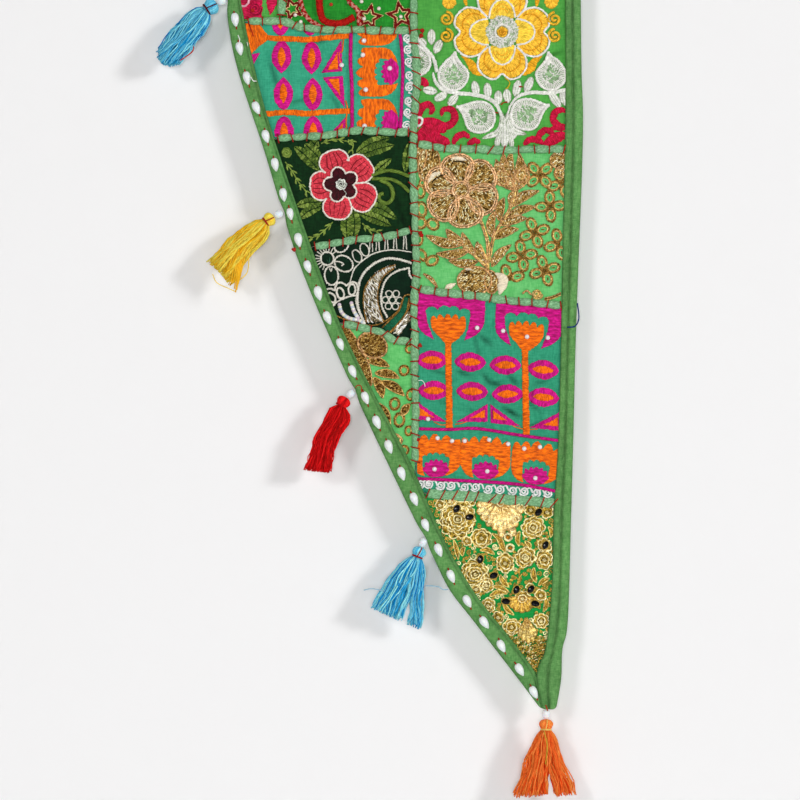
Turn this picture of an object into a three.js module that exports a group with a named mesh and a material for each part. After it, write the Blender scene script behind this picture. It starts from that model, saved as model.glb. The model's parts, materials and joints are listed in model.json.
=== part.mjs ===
// One side drop of a patchwork toran, the embroidered hanging that frames a doorway: ten embroidered
// patches joined under couched cords, bound on its sides and top, with shells and tassels down the
// curved side. Millimetres, +Z up, the front faces -Y, and the origin is the middle of the top edge.
import * as THREE from "three";

// Driving dimensions.
const CLOTH = 1.2; // thickness of an embroidered patch
const AIR = 0.4; // air between two pieces that are sewn together
const JOIN_GAP = 2; // space between neighbouring patches, hidden under a cord
const TUCK = 3; // how far a patch runs into the fold of a binding
const FOLD = 1; // thickness of each wall of a folded binding
const HEADING = 14; // depth of the plain band along the top
const HALF_TOP = 152.5; // half the width of the top edge
const CORD = { halfWidth: 3.4, height: 2.8, stitch: 12.4 }; // a couched cord between two red stitches
const BORDER_CORD = { halfWidth: 4.4, height: 3.2, stitch: 10.4 }; // the fatter one over the lowest patch
const PINCH = 0.78; // share of a cord's size that is left under a stitch
const SHELL = { length: 12.6, width: 7.8, height: 3.1 };
const BEAD = { length: 7.6, radius: 3.4, neck: 1.9 };
const CELL = 13; // spacing of the points on a cloth sheet
const STATION = 12; // spacing of the sections of a side binding

const SLOT = CLOTH / 2 + AIR; // half the gap inside a folded binding
const HALF_BINDING = SLOT + FOLD; // half the thickness of a folded binding
const CLOTH_FRONT = -CLOTH / 2; // the front of a patch, before the swells of the cloth

// The curved side, from the heading to the tip: the outer fold and the inner edge of its binding.
const CURVED_OUTER = [
  { z: 0, x: -HALF_TOP },
  { z: -81, x: -143 },
  { z: -166, x: -116.5 },
  { z: -262, x: -86.5 },
  { z: -361, x: -44.5 },
  { z: -457, x: 0.5 },
  { z: -512, x: 27.5 },
  { z: -540, x: 41.5 },
  { z: -566, x: 61.5 },
  { z: -618, x: 101.5 },
  { z: -642, x: 119.5 },
];
const CURVED_INNER = [
  { z: 0, x: -141 },
  { z: -38, x: -136.5 },
  { z: -123, x: -117.6 },
  { z: -213, x: -88.6 },
  { z: -312, x: -52.3 },
  { z: -361, x: -29 },
  { z: -429, x: 6.8 },
  { z: -501, x: 38.8 },
  { z: -544, x: 64 },
  { z: -577, x: 90 },
  { z: -600, x: 107.6 },
  { z: -612, x: 115 },
  { z: -624, x: 117.8 },
  { z: -642, x: 123 },
];

// The straight side, which ripples a little: the inner edge and the outer fold of its binding.
const STRAIGHT_INNER = [
  { z: 0, x: 139.4 },
  { z: -109, x: 139.7 },
  { z: -259, x: 137.2 },
  { z: -412, x: 133.5 },
  { z: -476, x: 129.6 },
  { z: -533, x: 128.2 },
  { z: -577, x: 124.4 },
  { z: -600, x: 120.4 },
  { z: -612, x: 118.6 },
  { z: -624, x: 119.8 },
  { z: -642, x: 124.3 },
];
const STRAIGHT_OUTER = [
  { z: 0, x: HALF_TOP },
  { z: -100, x: 153.4 },
  { z: -137, x: 154.6 },
  { z: -190, x: 153.6 },
  { z: -259, x: 151 },
  { z: -331, x: 148.4 },
  { z: -412, x: 146.4 },
  { z: -476, x: 144.6 },
  { z: -553, x: 142.4 },
  { z: -576, x: 140.6 },
  { z: -590, x: 137 },
  { z: -615, x: 136 },
  { z: -642, x: 131.6 },
];
const TIP = { binding: -641, cloth: -612 }; // where the bindings and the last patch end

// The long vertical join, and the joins that run across to it from either side.
const MAIN_JOIN = [
  { z: 0, x: 9.5 },
  { z: -64, x: 11 },
  { z: -109, x: 13.2 },
  { z: -152, x: 10.4 },
  { z: -193, x: 10.4 },
  { z: -262, x: 12.8 },
  { z: -300, x: 11.2 },
  { z: -383, x: 12.2 },
  { z: -460, x: 11.9 },
];
const SHORT_JOIN = [
  { z: 0, x: -101.5 },
  { z: -70, x: -101.8 },
];
const CROSS_JOINS = {
  star: [
    { x: -126, z: -56.5 },
    { x: -102, z: -56.5 },
    { x: -84, z: -62 },
    { x: -51, z: -63.8 },
    { x: 4, z: -64.6 },
  ],
  anemone: [
    { x: -105, z: -156.2 },
    { x: -69, z: -153.8 },
    { x: -36, z: -149.8 },
    { x: 2, z: -151 },
  ],
  paisley: [
    { x: -74, z: -247.8 },
    { x: -45, z: -243.2 },
    { x: -18, z: -240 },
    { x: 4, z: -235.4 },
  ],
  sprig: [
    { x: -52, z: -312.8 },
    { x: -34, z: -317 },
    { x: -16, z: -320.8 },
    { x: -6, z: -327 },
    { x: 6, z: -328.6 },
  ],
  zari: [
    { x: 14, z: -160.8 },
    { x: 38, z: -164.3 },
    { x: 81, z: -165.8 },
    { x: 138, z: -165 },
  ],
  tulip: [
    { x: 16, z: -284.4 },
    { x: 67, z: -290.6 },
    { x: 107, z: -295.4 },
    { x: 134, z: -297.8 },
  ],
  rosette: [
    { x: 18, z: -457.4 },
    { x: 67, z: -461 },
    { x: 130, z: -466 },
  ],
};

// Soft swells that the hanging cloth keeps: where each is, how far it spreads, how far it stands forward.
const SWELLS = [
  { x: 152, z: -135, across: 26, down: 42, rise: 1.7 },
  { x: 148, z: -250, across: 24, down: 40, rise: -1.3 },
  { x: 70, z: -90, across: 55, down: 60, rise: 1.1 },
  { x: -60, z: -110, across: 50, down: 45, rise: 0.9 },
  { x: -30, z: -195, across: 48, down: 34, rise: 1.3 },
  { x: 75, z: -230, across: 48, down: 44, rise: 1.2 },
  { x: 80, z: -375, across: 50, down: 60, rise: -1.2 },
  { x: -12, z: -380, across: 30, down: 40, rise: 1.1 },
  { x: 90, z: -530, across: 34, down: 50, rise: 1.5 },
  { x: 142, z: -588, across: 20, down: 26, rise: 1.6 },
];

// Runs of evenly spaced shells down the curved binding.
const SHELL_RUNS = [
  { from: -31.5, to: -203.5, count: 8 },
  { from: -220.4, to: -376.4, count: 8 },
  { from: -396.8, to: -506.4, count: 6 },
  { from: -528.7, to: -626.6, count: 6 },
];

// Tassels: where each leaves the edge, how its bead and its skirt lean out from plumb, in degrees,
// its length, the half-widths of its shoulder and its cut end, and how far its middle bows sideways.
const TASSELS = [
  {
    name: "sky_upper", z: -38, beadLean: 74, lean: 41, length: 63, shoulder: 13.5, end: 12.4,
    bow: -3, colour: 0x62bfe6,
  },
  {
    name: "yellow", z: -218.5, beadLean: 68, lean: 43, length: 67, shoulder: 11.2, end: 16,
    bow: -4, colour: 0xffc61c,
  },
  {
    name: "red", z: -369.8, beadLean: 50, lean: 22.5, length: 67, shoulder: 10, end: 11,
    bow: -1.6, colour: 0xe0141a,
  },
  {
    name: "sky_lower", z: -495.6, beadLean: 37, lean: 24, length: 65, shoulder: 15.2, end: 20.4,
    bow: 0, colour: 0x66c2e8,
  },
  {
    name: "orange", z: -641, beadLean: 0, lean: 2.8, length: 65, shoulder: 12.4, end: 25.2,
    bow: 0, colour: 0xff6a26,
  },
];
const NIP = { depth: 1.6, reach: 7 }; // how a tassel's stitch draws the edge in

const mix = THREE.MathUtils.lerp;
const steps = (length, spacing) => Math.max(2, Math.round(length / spacing));

// A smooth curve through the rows of a table: column `of` as a function of column `by`.
function through(rows, by, of) {
  const sorted = [...rows].sort((a, b) => a[by] - b[by]);
  const last = sorted.length - 1;
  const slopes = sorted.map((row, i) => {
    const before = sorted[Math.max(i - 1, 0)];
    const after = sorted[Math.min(i + 1, last)];
    return (after[of] - before[of]) / (after[by] - before[by]);
  });
  return (at) => {
    if (at <= sorted[0][by]) return sorted[0][of] + slopes[0] * (at - sorted[0][by]);
    if (at >= sorted[last][by]) return sorted[last][of] + slopes[last] * (at - sorted[last][by]);
    const i = sorted.findIndex((row) => row[by] > at) - 1;
    const span = sorted[i + 1][by] - sorted[i][by];
    const t = (at - sorted[i][by]) / span;
    const settled = t * t * (3 - 2 * t);
    const leaving = t * (1 - t) * (1 - t) * slopes[i];
    const arriving = t * t * (t - 1) * slopes[i + 1];
    return mix(sorted[i][of], sorted[i + 1][of], settled) + span * (leaving + arriving);
  };
}

const curvedPlain = through(CURVED_OUTER, "z", "x");
const curvedInner = through(CURVED_INNER, "z", "x");
const straightInner = through(STRAIGHT_INNER, "z", "x");
const straightOuter = through(STRAIGHT_OUTER, "z", "x");
const mainJoin = through(MAIN_JOIN, "z", "x");
const shortJoin = through(SHORT_JOIN, "z", "x");
const crossJoin = Object.fromEntries(
  Object.entries(CROSS_JOINS).map(([name, rows]) => [name, through(rows, "x", "z")]),
);

// The curved side's outer fold, nipped in at each tassel but the one on the tip.
function curvedOuter(z) {
  const nips = TASSELS.filter((tassel) => tassel.beadLean > 0);
  const drawn = nips.map((tassel) => Math.exp(-(((z - tassel.z) / NIP.reach) ** 2)));
  return curvedPlain(z) + NIP.depth * drawn.reduce((sum, share) => sum + share, 0);
}

// How far the middle of the cloth stands from the flat, towards +Y. It is flat along the heading.
function swell(x, z) {
  const hang = THREE.MathUtils.smoothstep(-z, HEADING + 4, HEADING + 60);
  const bell = (s) => Math.exp(-(((x - s.x) / s.across) ** 2) - ((z - s.z) / s.down) ** 2);
  const forward = SWELLS.map((s) => s.rise * bell(s));
  return -hang * forward.reduce((sum, rise) => sum + rise, 0);
}

// An indexed geometry with its faces turned to point out.
function closedGeometry(points, triangles) {
  const corner = (i) => new THREE.Vector3(...points[i]);
  const volume = triangles.reduce(
    (sum, [a, b, c]) => sum + corner(a).dot(corner(b).cross(corner(c))),
    0,
  );
  const facing = volume < 0 ? triangles.map(([a, b, c]) => [a, c, b]) : triangles;
  const geometry = new THREE.BufferGeometry();
  geometry.setAttribute("position", new THREE.Float32BufferAttribute(points.flat(), 3));
  geometry.setIndex(facing.flat());
  return geometry;
}

// A solid whose skin runs from ring to ring, closed at both ends. `outline` is one ring in its own
// plane, as [across, up] pairs, and says how the ends are cut into triangles.
function loft(rings, outline) {
  const count = outline.length;
  const triangles = [];
  for (let ring = 0; ring < rings.length - 1; ring += 1) {
    for (let i = 0; i < count; i += 1) {
      const near = ring * count + i;
      const next = ring * count + ((i + 1) % count);
      triangles.push([near, next, next + count], [near, next + count, near + count]);
    }
  }
  const shape = outline.map(([across, up]) => new THREE.Vector2(across, up));
  const end = (rings.length - 1) * count;
  for (const [a, b, c] of THREE.ShapeUtils.triangulateShape(shape, [])) {
    triangles.push([a, c, b], [end + a, end + b, end + c]);
  }
  return closedGeometry(rings.flat(), triangles);
}

// A cloth sheet over a grid: place(u, v) gives a point of the flat pattern as [x, z].
function sheet(columns, rows, place) {
  const points = [];
  for (const side of [-CLOTH / 2, CLOTH / 2]) {
    for (let row = 0; row <= rows; row += 1) {
      for (let column = 0; column <= columns; column += 1) {
        const [x, z] = place(column / columns, row / rows);
        points.push([x, swell(x, z) + side, z]);
      }
    }
  }
  const back = (columns + 1) * (rows + 1);
  const index = (column, row) => row * (columns + 1) + column;
  const triangles = [];
  for (let row = 0; row < rows; row += 1) {
    for (let column = 0; column < columns; column += 1) {
      const [a, b] = [index(column, row), index(column + 1, row)];
      const [d, c] = [index(column, row + 1), index(column + 1, row + 1)];
      triangles.push([a, b, c], [a, c, d], [back + a, back + c, back + b], [back + a, back + d, back + c]);
    }
  }
  const rim = [
    ...Array.from({ length: columns }, (_, i) => index(i, 0)),
    ...Array.from({ length: rows }, (_, i) => index(columns, i)),
    ...Array.from({ length: columns }, (_, i) => index(columns - i, rows)),
    ...Array.from({ length: rows }, (_, i) => index(0, rows - i)),
  ];
  rim.forEach((from, i) => {
    const to = rim[(i + 1) % rim.length];
    triangles.push([from, back + from, back + to], [from, back + to, to]);
  });
  return closedGeometry(points, triangles);
}

// A patch between a left and a right edge, x as functions of z, and a bottom and a top, z of x.
function patchGeometry({ left, right, bottom, top }) {
  const settle = (u, v) => {
    let x = mix(left(top(0)), right(top(0)), u);
    let z = top(x);
    for (let round = 0; round < 12; round += 1) {
      z = mix(bottom(x), top(x), v);
      x = mix(left(z), right(z), u);
    }
    return [x, z];
  };
  const [lowLeft, highLeft, highRight] = [settle(0, 0), settle(0, 1), settle(1, 1)];
  const columns = steps(highRight[0] - highLeft[0], CELL);
  const rows = steps(highLeft[1] - lowLeft[1], CELL);
  return sheet(columns, rows, settle);
}

// The section of a binding folded over the edge of the cloth, from its outer fold at 0 to its open
// inner edge at `width`, as [across, y] pairs. `pocket` is how deep the cloth can go in.
function foldedSection(width, pocket) {
  const round = FOLD * 1.1;
  const shut = width - pocket;
  return [
    [0, -SLOT],
    [round, -HALF_BINDING],
    [width, -HALF_BINDING],
    [width, -SLOT],
    [shut, -SLOT],
    [shut, SLOT],
    [width, SLOT],
    [width, HALF_BINDING],
    [round, HALF_BINDING],
    [0, SLOT],
  ];
}

// A side binding, lofted from level sections between its outer fold and its inner edge.
function sideBindingGeometry(outer, inner, tip) {
  const start = -HEADING - AIR;
  const count = steps(start - tip, STATION);
  let outline;
  const rings = Array.from({ length: count + 1 }, (_, i) => {
    const z = mix(start, tip, i / count);
    const width = inner(z) - outer(z);
    const pastCloth = THREE.MathUtils.clamp((TIP.cloth - 2 - z) / 8, 0, 1);
    const pocket = mix(TUCK + 2 * AIR, FOLD / 2, pastCloth);
    outline = foldedSection(Math.abs(width), pocket);
    return outline.map(([across, y]) => {
      const x = outer(z) + Math.sign(width) * across;
      return [x, swell(x, z) + y, z];
    });
  });
  return loft(rings, outline);
}

function headingGeometry() {
  const outline = foldedSection(HEADING, TUCK + 2 * AIR);
  const rings = [-HALF_TOP, HALF_TOP].map((x) => outline.map(([down, y]) => [x, y, -down]));
  return loft(rings, outline);
}

// A cord laid on the face of the cloth and held by a stitch every so often: place(t) is [x, z].
function couchedCordGeometry(place, size) {
  const length = new THREE.Vector2(...place(0)).distanceTo(new THREE.Vector2(...place(1)));
  const pillows = steps(length, size.stitch);
  const angles = Array.from({ length: 7 }, (_, i) => (Math.PI * i) / 6);
  const outline = angles.map((angle) => [Math.cos(angle), Math.sin(angle)]);
  const rings = Array.from({ length: 2 * pillows + 1 }, (_, i) => {
    const t = i / (2 * pillows);
    const [x, z] = place(t);
    const [ahead, behind] = [place(Math.min(t + 0.01, 1)), place(Math.max(t - 0.01, 0))];
    const along = new THREE.Vector2(ahead[0] - behind[0], ahead[1] - behind[1]).normalize();
    const plump = i % 2 === 0 ? PINCH : 1;
    return outline.map(([across, up]) => {
      const px = x - along.y * across * size.halfWidth * plump;
      const pz = z + along.x * across * size.halfWidth * plump;
      return [px, swell(px, pz) + CLOTH_FRONT - AIR - up * size.height * plump, pz];
    });
  });
  return loft(rings, outline);
}

// A cross join's cord, cut to fit between what lies at its two ends.
function crossCordGeometry(line, from, to, size = CORD) {
  const clearance = size.halfWidth * PINCH + 0.6;
  let start = from(line(from(line(0)))) + 0.6;
  for (let round = 0; round < 8; round += 1) start = from(line(start) - clearance) + 0.6;
  let end = to(line(to(line(0)))) - 0.6;
  for (let round = 0; round < 8; round += 1) end = to(line(end)) - 0.6;
  return couchedCordGeometry((t) => [mix(start, end, t), line(mix(start, end, t))], size);
}

// A small cowrie, flat underneath, blunt at its upper end and drawn in to a narrow lower one.
function shellGeometry() {
  const around = 12;
  const levels = 3;
  const outline = Array.from({ length: around }, (_, i) => {
    const angle = (2 * Math.PI * i) / around;
    const along = Math.sin(angle);
    const taper = 1 + 0.32 * along - 0.1 * along * along;
    return [0.5 * SHELL.width * Math.cos(angle) * taper, 0.5 * SHELL.length * along];
  });
  const rings = Array.from({ length: levels + 1 }, (_, level) => {
    const climb = (0.44 * Math.PI * level) / levels;
    const [shrink, lift] = [Math.cos(climb), SHELL.height * Math.sin(climb)];
    return outline.map(([x, z]) => [x * shrink, -lift, z * shrink]);
  });
  return loft(rings, outline);
}

// A drop bead on its own axis, hanging down from its upper hole.
function beadGeometry() {
  const profile = [
    [0, 0],
    [BEAD.neck, 0],
    [BEAD.radius, BEAD.length * 0.35],
    [BEAD.radius * 0.86, BEAD.length * 0.7],
    [BEAD.neck, BEAD.length],
    [0, BEAD.length],
  ].map(([radius, down]) => new THREE.Vector2(radius, -down));
  const lathe = new THREE.LatheGeometry(profile.reverse(), 12).rotateX(Math.PI / 2);
  lathe.deleteAttribute("normal");
  lathe.deleteAttribute("uv");
  return lathe;
}

// A tassel on its own axis: a bound head, a neck, and a skirt that opens to its cut end.
function tasselGeometry({ length, shoulder, end, bow }) {
  const sections = [
    { down: 0, wide: 2, deep: 2 },
    { down: 2.2, wide: 5.2, deep: 4.8 },
    { down: 5.6, wide: 5.9, deep: 5.5 },
    { down: 8.8, wide: 4.2, deep: 3.8 },
    { down: 12.6, wide: shoulder * 0.72, deep: 6 },
    { down: 20, wide: shoulder * 0.94, deep: 7.4 },
    { down: 30, wide: shoulder, deep: 7.8 },
    { down: length * 0.7, wide: mix(shoulder, end, 0.55), deep: 7.8 },
    { down: length, wide: end, deep: 7.2 },
  ];
  const around = 12;
  const outline = Array.from({ length: around }, (_, i) => {
    const angle = (2 * Math.PI * i) / around;
    return [Math.cos(angle), Math.sin(angle)];
  });
  const rings = sections.map(({ down, wide, deep }) =>
    outline.map(([across, out]) => {
      const aside = bow * Math.sin((Math.PI * down) / length);
      return [across * wide + aside, out * deep, -down];
    }),
  );
  return loft(rings, outline);
}

const toran = new THREE.Group();

function add(parent, name, geometry, colour, roughness = 0.9) {
  const material = new THREE.MeshStandardMaterial({ color: colour, roughness, metalness: 0 });
  const mesh = new THREE.Mesh(geometry, material);
  mesh.name = name;
  parent.add(mesh);
  return mesh;
}

// The patches. Each is cut to run under the bindings and to meet its neighbours under a cord.
const underHeading = () => -HEADING + TUCK;
const curvedCut = (z) => curvedInner(z) - TUCK;
const straightCut = (z) => straightInner(z) + TUCK;
const leftOf = (join) => (z) => join(z) - JOIN_GAP / 2;
const rightOf = (join) => (z) => join(z) + JOIN_GAP / 2;
const below = (line) => (x) => line(x) - JOIN_GAP / 2;
const above = (line) => (x) => line(x) + JOIN_GAP / 2;
const level = (z) => () => z;
const rightOfMainOrCurve = (z) => Math.max(rightOf(mainJoin)(z), curvedCut(z));
const PATCHES = [
  {
    name: "rose", left: curvedCut, right: leftOf(shortJoin), top: underHeading,
    bottom: above(crossJoin.star), colour: 0x5fae5a,
  },
  {
    name: "star", left: rightOf(shortJoin), right: leftOf(mainJoin), top: underHeading,
    bottom: above(crossJoin.star), colour: 0x2fa53a,
  },
  {
    name: "lattice", left: curvedCut, right: leftOf(mainJoin), top: below(crossJoin.star),
    bottom: above(crossJoin.anemone), colour: 0x3fb08a,
  },
  {
    name: "anemone", left: curvedCut, right: leftOf(mainJoin), top: below(crossJoin.anemone),
    bottom: above(crossJoin.paisley), colour: 0x14381f,
  },
  {
    name: "paisley", left: curvedCut, right: leftOf(mainJoin), top: below(crossJoin.paisley),
    bottom: above(crossJoin.sprig), colour: 0x0e2f1c,
  },
  {
    name: "sprig", left: curvedCut, right: leftOf(mainJoin), top: below(crossJoin.sprig),
    bottom: level(-443), colour: 0x62d36b,
  },
  {
    name: "bloom", left: rightOf(mainJoin), right: straightCut, top: underHeading,
    bottom: above(crossJoin.zari), colour: 0x4fae4c,
  },
  {
    name: "zari", left: rightOf(mainJoin), right: straightCut, top: below(crossJoin.zari),
    bottom: above(crossJoin.tulip), colour: 0x62d36b,
  },
  {
    name: "tulip", left: rightOfMainOrCurve, right: straightCut, top: below(crossJoin.tulip),
    bottom: above(crossJoin.rosette), colour: 0x3aaa84,
  },
  {
    name: "rosette", left: curvedCut, right: straightCut, top: below(crossJoin.rosette),
    bottom: level(TIP.cloth), colour: 0x1fa04a,
  },
];
for (const patch of PATCHES) add(toran, `patch_${patch.name}`, patchGeometry(patch), patch.colour);

// The bindings and the heading.
const BINDING_COLOUR = 0x4f9150;
add(toran, "binding_curved", sideBindingGeometry(curvedOuter, curvedInner, TIP.binding), BINDING_COLOUR);
const straightBinding = sideBindingGeometry(straightOuter, straightInner, TIP.binding);
add(toran, "binding_straight", straightBinding, BINDING_COLOUR);
add(toran, "heading", headingGeometry(), BINDING_COLOUR);

// The couched cords over the joins.
const CORD_COLOUR = 0x6fb083;
const headingEdge = -HEADING - 0.5;
const beside = CORD.halfWidth;
const leftOfMainCord = (z) => mainJoin(z) - beside;
const rightOfMainCord = (z) => mainJoin(z) + beside;
function downCordGeometry(join, bottom) {
  return couchedCordGeometry((t) => {
    const z = mix(headingEdge, bottom, t);
    return [join(z), z];
  }, CORD);
}
add(toran, "cord_main", downCordGeometry(mainJoin, -431), CORD_COLOUR);
add(toran, "cord_short", downCordGeometry(shortJoin, -51.6), CORD_COLOUR);
for (const name of ["star", "anemone", "paisley", "sprig"]) {
  add(toran, `cord_${name}`, crossCordGeometry(crossJoin[name], curvedInner, leftOfMainCord), CORD_COLOUR);
}
for (const name of ["zari", "tulip"]) {
  add(toran, `cord_${name}`, crossCordGeometry(crossJoin[name], rightOfMainCord, straightInner), CORD_COLOUR);
}
const borderCord = crossCordGeometry(crossJoin.rosette, curvedInner, straightInner, BORDER_CORD);
add(toran, "cord_rosette", borderCord, CORD_COLOUR);

// The shells, sewn along the middle of the curved binding and turned to follow it.
let shellNumber = 0;
for (const run of SHELL_RUNS) {
  for (let i = 0; i < run.count; i += 1) {
    const z = mix(run.from, run.to, i / (run.count - 1));
    const x = mix(curvedPlain(z), curvedInner(z), 0.42);
    const lean = Math.atan2(curvedPlain(z - STATION) - curvedPlain(z + STATION), 2 * STATION);
    shellNumber += 1;
    const name = `shell_${String(shellNumber).padStart(2, "0")}`;
    const shell = add(toran, name, shellGeometry(), 0xf4f3ee, 0.35);
    shell.position.set(x, swell(x, z) - HALF_BINDING - AIR - 0.1, z);
    shell.rotation.y = -0.8 * lean;
  }
}

// The tassels: each group hangs from the edge, with its bead first and the tassel below it.
for (const tassel of TASSELS) {
  const atTip = tassel.beadLean === 0;
  const x = atTip ? mix(curvedInner(tassel.z), straightInner(tassel.z), 0.5) : curvedOuter(tassel.z);
  const hanger = new THREE.Group();
  hanger.position.set(x, swell(x, tassel.z), tassel.z);
  toran.add(hanger);

  const beadTurn = THREE.MathUtils.degToRad(tassel.beadLean);
  const out = new THREE.Vector3(-Math.sin(beadTurn), 0, -Math.cos(beadTurn));
  const bead = add(hanger, `bead_${tassel.name}`, beadGeometry(), 0xf2f2f0, 0.25);
  const offEdge = atTip ? AIR + 0.2 : 1.9;
  bead.position.copy(out).multiplyScalar(offEdge);
  bead.rotation.y = beadTurn;

  const skirt = add(hanger, `tassel_${tassel.name}`, tasselGeometry(tassel), tassel.colour);
  const turn = THREE.MathUtils.degToRad(tassel.lean);
  const bodyWay = new THREE.Vector3(-Math.sin(turn), 0, -Math.cos(turn));
  const slack = AIR + 0.2 + 2 * Math.abs(Math.sin(beadTurn - turn));
  skirt.position.copy(out).multiplyScalar(offEdge + BEAD.length);
  skirt.position.addScaledVector(bodyWay, slack);
  skirt.rotation.y = turn;
}

export default toran;
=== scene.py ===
# %% [markdown]
# # The side drop of a patchwork toran
# A toran is an embroidered hanging for the head of a doorway. This is one of its side drops: ten
# patches cut from old embroidered cloth, joined under couched cords, bound in green cotton, and
# trimmed with shells and tassels. Everything is made as surfaces of two parameters, worked out as
# whole numpy arrays, because thread and cloth are strips and cords that follow a path.

import json

import bpy
import numpy as np
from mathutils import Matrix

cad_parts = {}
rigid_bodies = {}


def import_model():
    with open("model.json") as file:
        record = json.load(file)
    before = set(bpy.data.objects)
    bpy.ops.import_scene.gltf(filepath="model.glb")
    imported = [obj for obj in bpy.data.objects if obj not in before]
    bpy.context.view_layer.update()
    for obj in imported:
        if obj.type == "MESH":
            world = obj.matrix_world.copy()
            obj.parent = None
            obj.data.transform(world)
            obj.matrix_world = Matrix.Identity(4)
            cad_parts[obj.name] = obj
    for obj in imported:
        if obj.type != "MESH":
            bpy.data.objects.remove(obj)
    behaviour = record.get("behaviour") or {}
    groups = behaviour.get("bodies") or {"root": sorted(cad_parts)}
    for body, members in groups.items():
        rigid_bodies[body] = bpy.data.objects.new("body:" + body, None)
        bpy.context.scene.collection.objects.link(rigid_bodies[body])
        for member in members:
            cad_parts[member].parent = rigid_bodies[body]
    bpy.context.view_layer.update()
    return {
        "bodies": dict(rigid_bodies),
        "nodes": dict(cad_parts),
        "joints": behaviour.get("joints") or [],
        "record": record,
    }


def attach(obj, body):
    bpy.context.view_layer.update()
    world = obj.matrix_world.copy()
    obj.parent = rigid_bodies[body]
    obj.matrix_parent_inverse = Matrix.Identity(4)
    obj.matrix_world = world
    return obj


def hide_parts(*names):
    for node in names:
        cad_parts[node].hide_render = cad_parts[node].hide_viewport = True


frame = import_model()
MM = 0.001  # the tables are in millimetres, and the scene in metres
chance = np.random.default_rng(12)

# %% [markdown]
# ## The camera
# A straight-on view of a flat hanging needs a long lens, so that the sides do not splay. The lens
# length follows from the width that the view takes in at the cloth, and the distance to it.

# %% Camera
VIEW = {"across": 680, "x": -0.9, "z": -378.3, "away": 2400}  # mm
SENSOR = 36

camera_data = bpy.data.cameras.new("camera")
camera_data.sensor_width = SENSOR
camera_data.lens = SENSOR * VIEW["away"] / VIEW["across"]
camera = bpy.data.objects.new("camera", camera_data)
camera.location = (VIEW["x"] * MM, -VIEW["away"] * MM, VIEW["z"] * MM)
camera.rotation_euler = (np.pi / 2, 0, 0)
bpy.context.scene.collection.objects.link(camera)
bpy.context.scene.camera = camera
bpy.context.scene.view_settings.view_transform = "Standard"  # thread colours as they are, not filmic
print("camera: lens", round(camera_data.lens, 1), "mm")

# %% [markdown]
# ## The outline
# The cloth's edges and joins are the same short tables that the solid frame was cut to. A smooth
# curve runs through each table, so any point of an edge can be asked for.

# %% Edge and join curves


def through(rows):
    """A smooth curve through (knot, value) rows. Between two knots it is the cubic that leaves and
    arrives at the slope between each knot's neighbours, and beyond the ends it goes on straight."""
    knots, values = np.array(sorted(rows), float).T
    low = np.maximum(np.arange(len(knots)) - 1, 0)
    high = np.minimum(np.arange(len(knots)) + 1, len(knots) - 1)
    slopes = (values[high] - values[low]) / (knots[high] - knots[low])

    def curve(at):
        at = np.asarray(at, float)
        i = np.clip(np.searchsorted(knots, at, side="right") - 1, 0, len(knots) - 2)
        span = knots[i + 1] - knots[i]
        t = np.clip((at - knots[i]) / span, 0, 1)
        settled = values[i] + (values[i + 1] - values[i]) * t * t * (3 - 2 * t)
        bent = span * (t * (1 - t) ** 2 * slopes[i] + t * t * (t - 1) * slopes[i + 1])
        beyond = at - np.clip(at, knots[0], knots[-1])
        return settled + bent + beyond * np.where(at < knots[0], slopes[0], slopes[-1])

    return curve


HEADING = 14
HALF_TOP = 152.5
TIP = -641
curved_plain = through([
    (0, -HALF_TOP), (-81, -143), (-166, -116.5), (-262, -86.5), (-361, -44.5), (-457, 0.5),
    (-512, 27.5), (-540, 41.5), (-566, 61.5), (-618, 101.5), (-642, 119.5),
])
curved_inner = through([
    (0, -141), (-38, -136.5), (-123, -117.6), (-213, -88.6), (-312, -52.3), (-361, -29),
    (-429, 6.8), (-501, 38.8), (-544, 64), (-577, 90), (-600, 107.6), (-612, 115),
    (-624, 117.8), (-642, 123),
])
straight_inner = through([
    (0, 139.4), (-109, 139.7), (-259, 137.2), (-412, 133.5), (-476, 129.6), (-533, 128.2),
    (-577, 124.4), (-600, 120.4), (-612, 118.6), (-624, 119.8), (-642, 124.3),
])
straight_outer = through([
    (0, HALF_TOP), (-100, 153.4), (-137, 154.6), (-190, 153.6), (-259, 151), (-331, 148.4),
    (-412, 146.4), (-476, 144.6), (-553, 142.4), (-576, 140.6), (-590, 137), (-615, 136),
    (-642, 131.6),
])
main_join = through([
    (0, 9.5), (-64, 11), (-109, 13.2), (-152, 10.4), (-193, 10.4), (-262, 12.8), (-300, 11.2),
    (-383, 12.2), (-460, 11.9),
])
short_join = through([(0, -101.5), (-70, -101.8)])
CROSS = {
    "star": through([(-126, -56.5), (-102, -56.5), (-84, -62), (-51, -63.8), (4, -64.6)]),
    "anemone": through([(-105, -156.2), (-69, -153.8), (-36, -149.8), (2, -151)]),
    "paisley": through([(-74, -247.8), (-45, -243.2), (-18, -240), (4, -235.4)]),
    "sprig": through([(-52, -312.8), (-34, -317), (-16, -320.8), (-6, -327), (6, -328.6)]),
    "zari": through([(14, -160.8), (38, -164.3), (81, -165.8), (138, -165)]),
    "tulip": through([(16, -284.4), (67, -290.6), (107, -295.4), (134, -297.8)]),
    "rosette": through([(18, -457.4), (67, -461), (130, -466)]),
}
TASSEL_EDGE = [-38, -218.5, -369.8, -495.6]  # where a tassel's stitch nips the curved edge in


def curved_outer(z):
    """The curved side's fold: the plain curve, moved in by a small bell at each tassel."""
    nips = np.exp(-(((np.asarray(z)[..., None] - TASSEL_EDGE) / 7) ** 2)).sum(-1)
    return curved_plain(z) + 1.6 * nips


print("outline: tip at x", round(float(curved_inner(TIP)), 1), "mm")

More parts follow.
